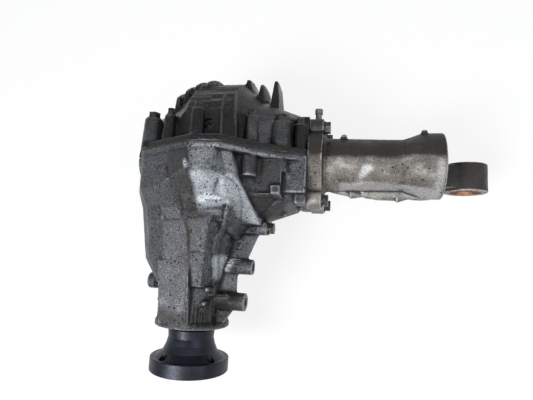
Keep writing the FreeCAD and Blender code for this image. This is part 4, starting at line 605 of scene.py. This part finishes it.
def cast_metal(name, base, light, stain, dirt, bare_and_highlight, stains, speckle, pits, polish,
               soil_and_shade_tint="#1e1b19", chalk=0.3, roughness=0.5, metal=0.35, grain_mm=2.0, coat=None):
    """Weathered cast aluminium, read from Object coordinates and the casting's marks of wear and soil,
    with painted highlights and shadows.

    The first five are tints. stains, speckle, pits, chalk and polish say how much of each shows.
    """
    material, tree, output, place = new_material(name)
    patches = add(tree, "ShaderNodeTexNoise", {"Vector": place, "Scale": 1 / (PATCH_WIDTH * MM),
                                               "Detail": 6.0, "Roughness": 0.62})
    patch = add(tree, "ShaderNodeMapRange",
                {0: patches.outputs[0], 1: 0.44, 2: 0.68, 3: 0.0, 4: stains})
    grit = add(tree, "ShaderNodeTexNoise", {"Vector": place, "Scale": 1 / (grain_mm * MM),
                                            "Detail": 2.0, "Roughness": 0.7})
    pale = add(tree, "ShaderNodeMapRange", {0: grit.outputs[0], 1: 0.55, 2: 0.68, 3: 0.0, 4: speckle})
    dark = add(tree, "ShaderNodeMapRange", {0: grit.outputs[0], 1: 0.50, 2: 0.38, 3: 0.0, 4: speckle})
    cells = add(tree, "ShaderNodeTexVoronoi",
                {"Vector": place, "Scale": 1 / (PIT_SPACING * MM), "Randomness": 1.0})
    chosen = add(tree, "ShaderNodeSeparateColor", {0: cells.outputs["Color"]})
    some = add(tree, "ShaderNodeMath", {0: chosen.outputs[0], 1: 1.0 - pits},
               operation="GREATER_THAN")
    hole = add(tree, "ShaderNodeMapRange",
               {0: cells.outputs["Distance"], 1: 0.26, 2: 0.14, 3: 0.0, 4: 1.0})
    pit = add(tree, "ShaderNodeMath", {0: some.outputs[0], 1: hole.outputs[0]}, operation="MULTIPLY")
    raised = add(tree, "ShaderNodeAttribute", attribute_name="raised")
    wear_and_highlight = add(tree, "ShaderNodeAttribute", attribute_name="wear_and_highlight")
    soil_and_shade = add(tree, "ShaderNodeAttribute", attribute_name="soil_and_shade")
    edge = add(tree, "ShaderNodeMapRange",
               {0: raised.outputs["Fac"], 1: EDGE_FROM, 2: EDGE_FULL, 3: 0.0, 4: polish})
    # points lying below their neighbours, in inner corners, are painted darker with the dirt tint
    corner = add(tree, "ShaderNodeMapRange",
                 {0: raised.outputs["Fac"], 1: -0.08, 2: -0.45, 3: 0.0, 4: 0.9})
    # the pale mark: wear on rubbed places, and a painted highlight on the housing's lit shoulder
    broken = add(tree, "ShaderNodeMath", {0: wear_and_highlight.outputs["Fac"], 1: patches.outputs[0]},
                 operation="MULTIPLY")
    worn_and_lit = add(tree, "ShaderNodeMapRange", {0: broken.outputs[0], 1: 0.10, 2: 0.50, 3: 0.0, 4: 0.85})
    grainy = add(tree, "ShaderNodeMapRange", {0: grit.outputs[0], 1: 0.36, 2: 0.52, 3: 0.25, 4: 1.0})
    shown = add(tree, "ShaderNodeMath", {0: worn_and_lit.outputs[0], 1: grainy.outputs[0]},
                operation="MULTIPLY")
    bright = add(tree, "ShaderNodeMath", {0: edge.outputs[0], 1: shown.outputs[0]},
                 operation="MAXIMUM")
    colour = add(tree, "ShaderNodeMix", {0: patch.outputs[0], 6: paint(base), 7: paint(stain)},
                 data_type="RGBA")
    chalky = add(tree, "ShaderNodeMapRange",
                 {0: patches.outputs[0], 1: 0.46, 2: 0.28, 3: 0.0, 4: chalk})
    layers = [(chalky.outputs[0], light), (pale.outputs[0], light), (dark.outputs[0], dirt)]
    if coat:
        tint, mask_of = coat
        layers.append((mask_of(tree, place, patches.outputs[0]), tint))
    # the dark mark paints soil and painted shadows; bright paints bare edges, wear and painted
    # highlights
    layers += [(soil_and_shade.outputs["Fac"], soil_and_shade_tint), (bright.outputs[0], bare_and_highlight), (corner.outputs[0], dirt),
               (pit.outputs[0], dirt)]
    for mask, tint in layers:
        colour = add(tree, "ShaderNodeMix", {0: mask, 6: colour.outputs[2], 7: paint(tint)},
                     data_type="RGBA")
    gloss = add(tree, "ShaderNodeMapRange", {0: patches.outputs[0], 1: 0.3, 2: 0.7,
                                             3: roughness - 0.10, 4: roughness + 0.14})
    height = add(tree, "ShaderNodeMath", {0: grit.outputs[0], 1: pit.outputs[0]},
                 operation="SUBTRACT")
    bump = add(tree, "ShaderNodeBump",
               {"Strength": 0.7, "Distance": BUMP_HEIGHT * MM, "Height": height.outputs[0]})
    shine = add(tree, "ShaderNodeMapRange",
                {0: bright.outputs[0], 1: 0.0, 2: 1.0, 3: metal, 4: BARE_METAL})
    shader = add(tree, "ShaderNodeBsdfPrincipled", {
        "Base Color": colour.outputs[2], "Roughness": gloss.outputs[0], "Metallic": shine.outputs[0],
        "Normal": bump.outputs[0]})
    tree.links.new(shader.outputs[0], output.inputs["Surface"])
    return material


print("stains are", PATCH_WIDTH, "mm wide")

# %% [markdown]
# The three castings differ in their history. The housing has weathered to a speckled slate grey,
# with its shoulder painted pale as a highlight where it faces the lamp. The cover sat in oil mist
# and heat, so it is nearly black, with pale bosses. The tube is pale and chalky, but oil has baked
# onto its front half and its eye, up to a ragged line near the mould's line.

# %% Paint on the castings
OIL_COVER = 0.94       # how much of the metal the baked oil hides
OIL_RAGGED = 12        # millimetres that its line wanders
OIL_LINE = (0.5, 6)    # millimetres forwards of the axle, where the oil begins and is full
EYE_LINE = (380, 386)  # millimetres along the axle, where the eye's oil begins and is full


def oily_front(tree, place, noise):
    """Where oil has baked onto the tube: its front half and its eye."""
    axes = add(tree, "ShaderNodeSeparateXYZ", {0: place})
    ragged = add(tree, "ShaderNodeMath", {0: noise, 1: OIL_RAGGED * MM, 2: -OIL_RAGGED / 2 * MM},
                 operation="MULTIPLY_ADD")
    line = add(tree, "ShaderNodeMath", {0: axes.outputs[1], 1: ragged.outputs[0]}, operation="ADD")
    front, eye = (
        add(tree, "ShaderNodeMapRange", {0: along, 1: begin * MM, 2: full * MM, 3: 0.0, 4: OIL_COVER})
        for along, (begin, full) in ((line.outputs[0], OIL_LINE), (axes.outputs[0], EYE_LINE)))
    both = add(tree, "ShaderNodeMath", {0: front.outputs[0], 1: eye.outputs[0]}, operation="MAXIMUM")
    return both.outputs[0]


housing_metal = cast_metal(
    "sand_cast_aluminium", base="#41454c", light="#7e7b74", stain="#463f37", dirt="#0a0a0c",
    bare_and_highlight="#b8bec3", stains=0.55, speckle=0.68, pits=0.45, polish=0.38, grain_mm=1.6)
cover_metal = cast_metal(
    "oil_baked_cast_aluminium", base="#161618", light="#3c3a38", stain="#2a241e", dirt="#070707",
    bare_and_highlight="#7b7c80", soil_and_shade_tint="#15100c", chalk=0.5, stains=0.8, speckle=0.35, pits=0.12, roughness=0.36,
    polish=0.5, metal=0.45)
tube_metal = cast_metal(
    "stained_cast_aluminium", base="#76726c", light="#bdb9b1", stain="#4c453d", dirt="#1d1a18",
    bare_and_highlight="#dcdee0", chalk=0.75, stains=0.85, speckle=0.38, pits=0.12, polish=0.7, grain_mm=1.4,
    coat=("#241f1c", oily_front))
case.data.materials.append(housing_metal)
cover.data.materials.append(cover_metal)
tube.data.materials.append(tube_metal)
print("castings painted")

# %% [markdown]
# The other pieces are steel, rubber and sealant. One function makes them all, because they differ
# in the same few things: two tints and the size of the patches between them, how rough and how
# metallic the surface is, and a fine grain that bumps it. The comment over each says what the real
# surface is. A piece that no list below names is a bearing's ring or rolling set.

# %% Steel, rubber and sealant
PATCH_SHARE = 0.7      # how much of the second tint shows in a patch
GRIT_HEIGHT = 0.4      # millimetres


def plain_metal(name, base, second, roughness, metallic, patch_mm, grit_mm, rough_skin):
    """A turned, rusted or moulded surface with patches of a second colour."""
    material, tree, output, place = new_material(name)
    patches = add(tree, "ShaderNodeTexNoise", {"Vector": place, "Scale": 1 / (patch_mm * MM),
                                               "Detail": 5.0, "Roughness": 0.65})
    grit = add(tree, "ShaderNodeTexNoise", {"Vector": place, "Scale": 1 / (grit_mm * MM), "Detail": 2.0})
    mask = add(tree, "ShaderNodeMapRange",
               {0: patches.outputs[0], 1: 0.42, 2: 0.66, 3: 0.0, 4: PATCH_SHARE})
    colour = add(tree, "ShaderNodeMix", {0: mask.outputs[0], 6: paint(base), 7: paint(second)},
                 data_type="RGBA")
    gloss = add(tree, "ShaderNodeMapRange", {0: grit.outputs[0], 1: 0.3, 2: 0.7,
                                             3: roughness - 0.08, 4: roughness + 0.12})
    bump = add(tree, "ShaderNodeBump",
               {"Strength": rough_skin, "Distance": GRIT_HEIGHT * MM, "Height": grit.outputs[0]})
    shader = add(tree, "ShaderNodeBsdfPrincipled", {
        "Base Color": colour.outputs[2], "Roughness": gloss.outputs[0], "Metallic": metallic,
        "Normal": bump.outputs[0]})
    tree.links.new(shader.outputs[0], output.inputs["Surface"])
    return material


# two tints, roughness, metallic, patches and grain in millimetres, and how much the grain bumps
looks = {
    # black oxide bolts under oil film, rubbed pale in patches of 4 mm by sockets and stones
    "oiled_bolt_steel": ("#262627", "#6b675f", 0.36, 0.65, 4, 1.5, 0.3),
    # forged and turned flange, phosphated blue black: even, with faint clouds of 20 mm
    "phosphated_steel": ("#1a1d25", "#2e323d", 0.42, 0.6, 20, 1.5, 0.25),
    # bare steel of the bush, rusted orange to brown in 7 mm patches with a grain of 1.2 mm
    "rusted_bush_steel": ("#b98a66", "#7a4f30", 0.7, 0.2, 7, 1.2, 0.4),
    # zinc plating gone dull grey, with darker spots of 4 mm where it has worn through
    "zinc_plated_steel": ("#84857f", "#4f4c46", 0.42, 0.7, 4, 1.0, 0.15),
    # case hardened gears and shafts, run in oil: smooth, with a brown film in 15 mm clouds
    "gear_steel": ("#8f8e8b", "#6a655c", 0.28, 0.9, 15, 1.0, 0.1),
    # ground and polished rings, balls and rollers
    "bearing_steel": ("#c4c6c8", "#a9abad", 0.18, 1.0, 20, 1.0, 0.05),
    # ductile iron casting of the carrier, dark and grainy at 1.6 mm
    "carrier_iron": ("#4c4c4e", "#37352f", 0.5, 0.6, 15, 1.6, 0.4),
    # moulded black rubber of seals and bush, dusty in 10 mm clouds
    "nitrile_rubber": ("#1d1c1c", "#2a2826", 0.65, 0.0, 10, 1.2, 0.3),
    # squeezed out sealant, dull black with road dust on it
    "liquid_sealant": ("#2b2927", "#4a4540", 0.6, 0.0, 8, 1.4, 0.3),
}
finishes = {name: plain_metal(name, *values) for name, values in looks.items()}
users = {
    "oiled_bolt_steel": ["cover_bolts", "tube_bolts", "side_bolt", "fill_plug", "drain_plug"],
    "phosphated_steel": ["companion_flange", "dust_deflector", "pinion_nut", "pinion_washer"],
    "rusted_bush_steel": ["bush_shell", "bush_sleeve"],
    "zinc_plated_steel": ["breather", "dowels", "snap_ring", "shaft_circlip"],
    "nitrile_rubber": ["bush_rubber", "left_seal", "right_seal", "pinion_seal", "tube_oring"],
    "liquid_sealant": ["joint_sealant"],
    "carrier_iron": ["carrier"],
    "gear_steel": ["ring_gear", "pinion_shaft", "left_side_gear", "right_side_gear", "upper_spider_gear",
                   "lower_spider_gear", "right_shaft", "cross_pin", "lock_pin", "ring_bolts",
                   "crush_sleeve", "left_shim", "right_shim", "left_thrust_washer",
                   "right_thrust_washer", "spider_washers"],
}
finish_of = {node: name for name, members in users.items() for node in members}
for node, solid in nodes.items():
    solid.data.materials.clear()
    solid.data.materials.append(finishes[finish_of.get(node, "bearing_steel")])
print("finishes:", len(finishes))
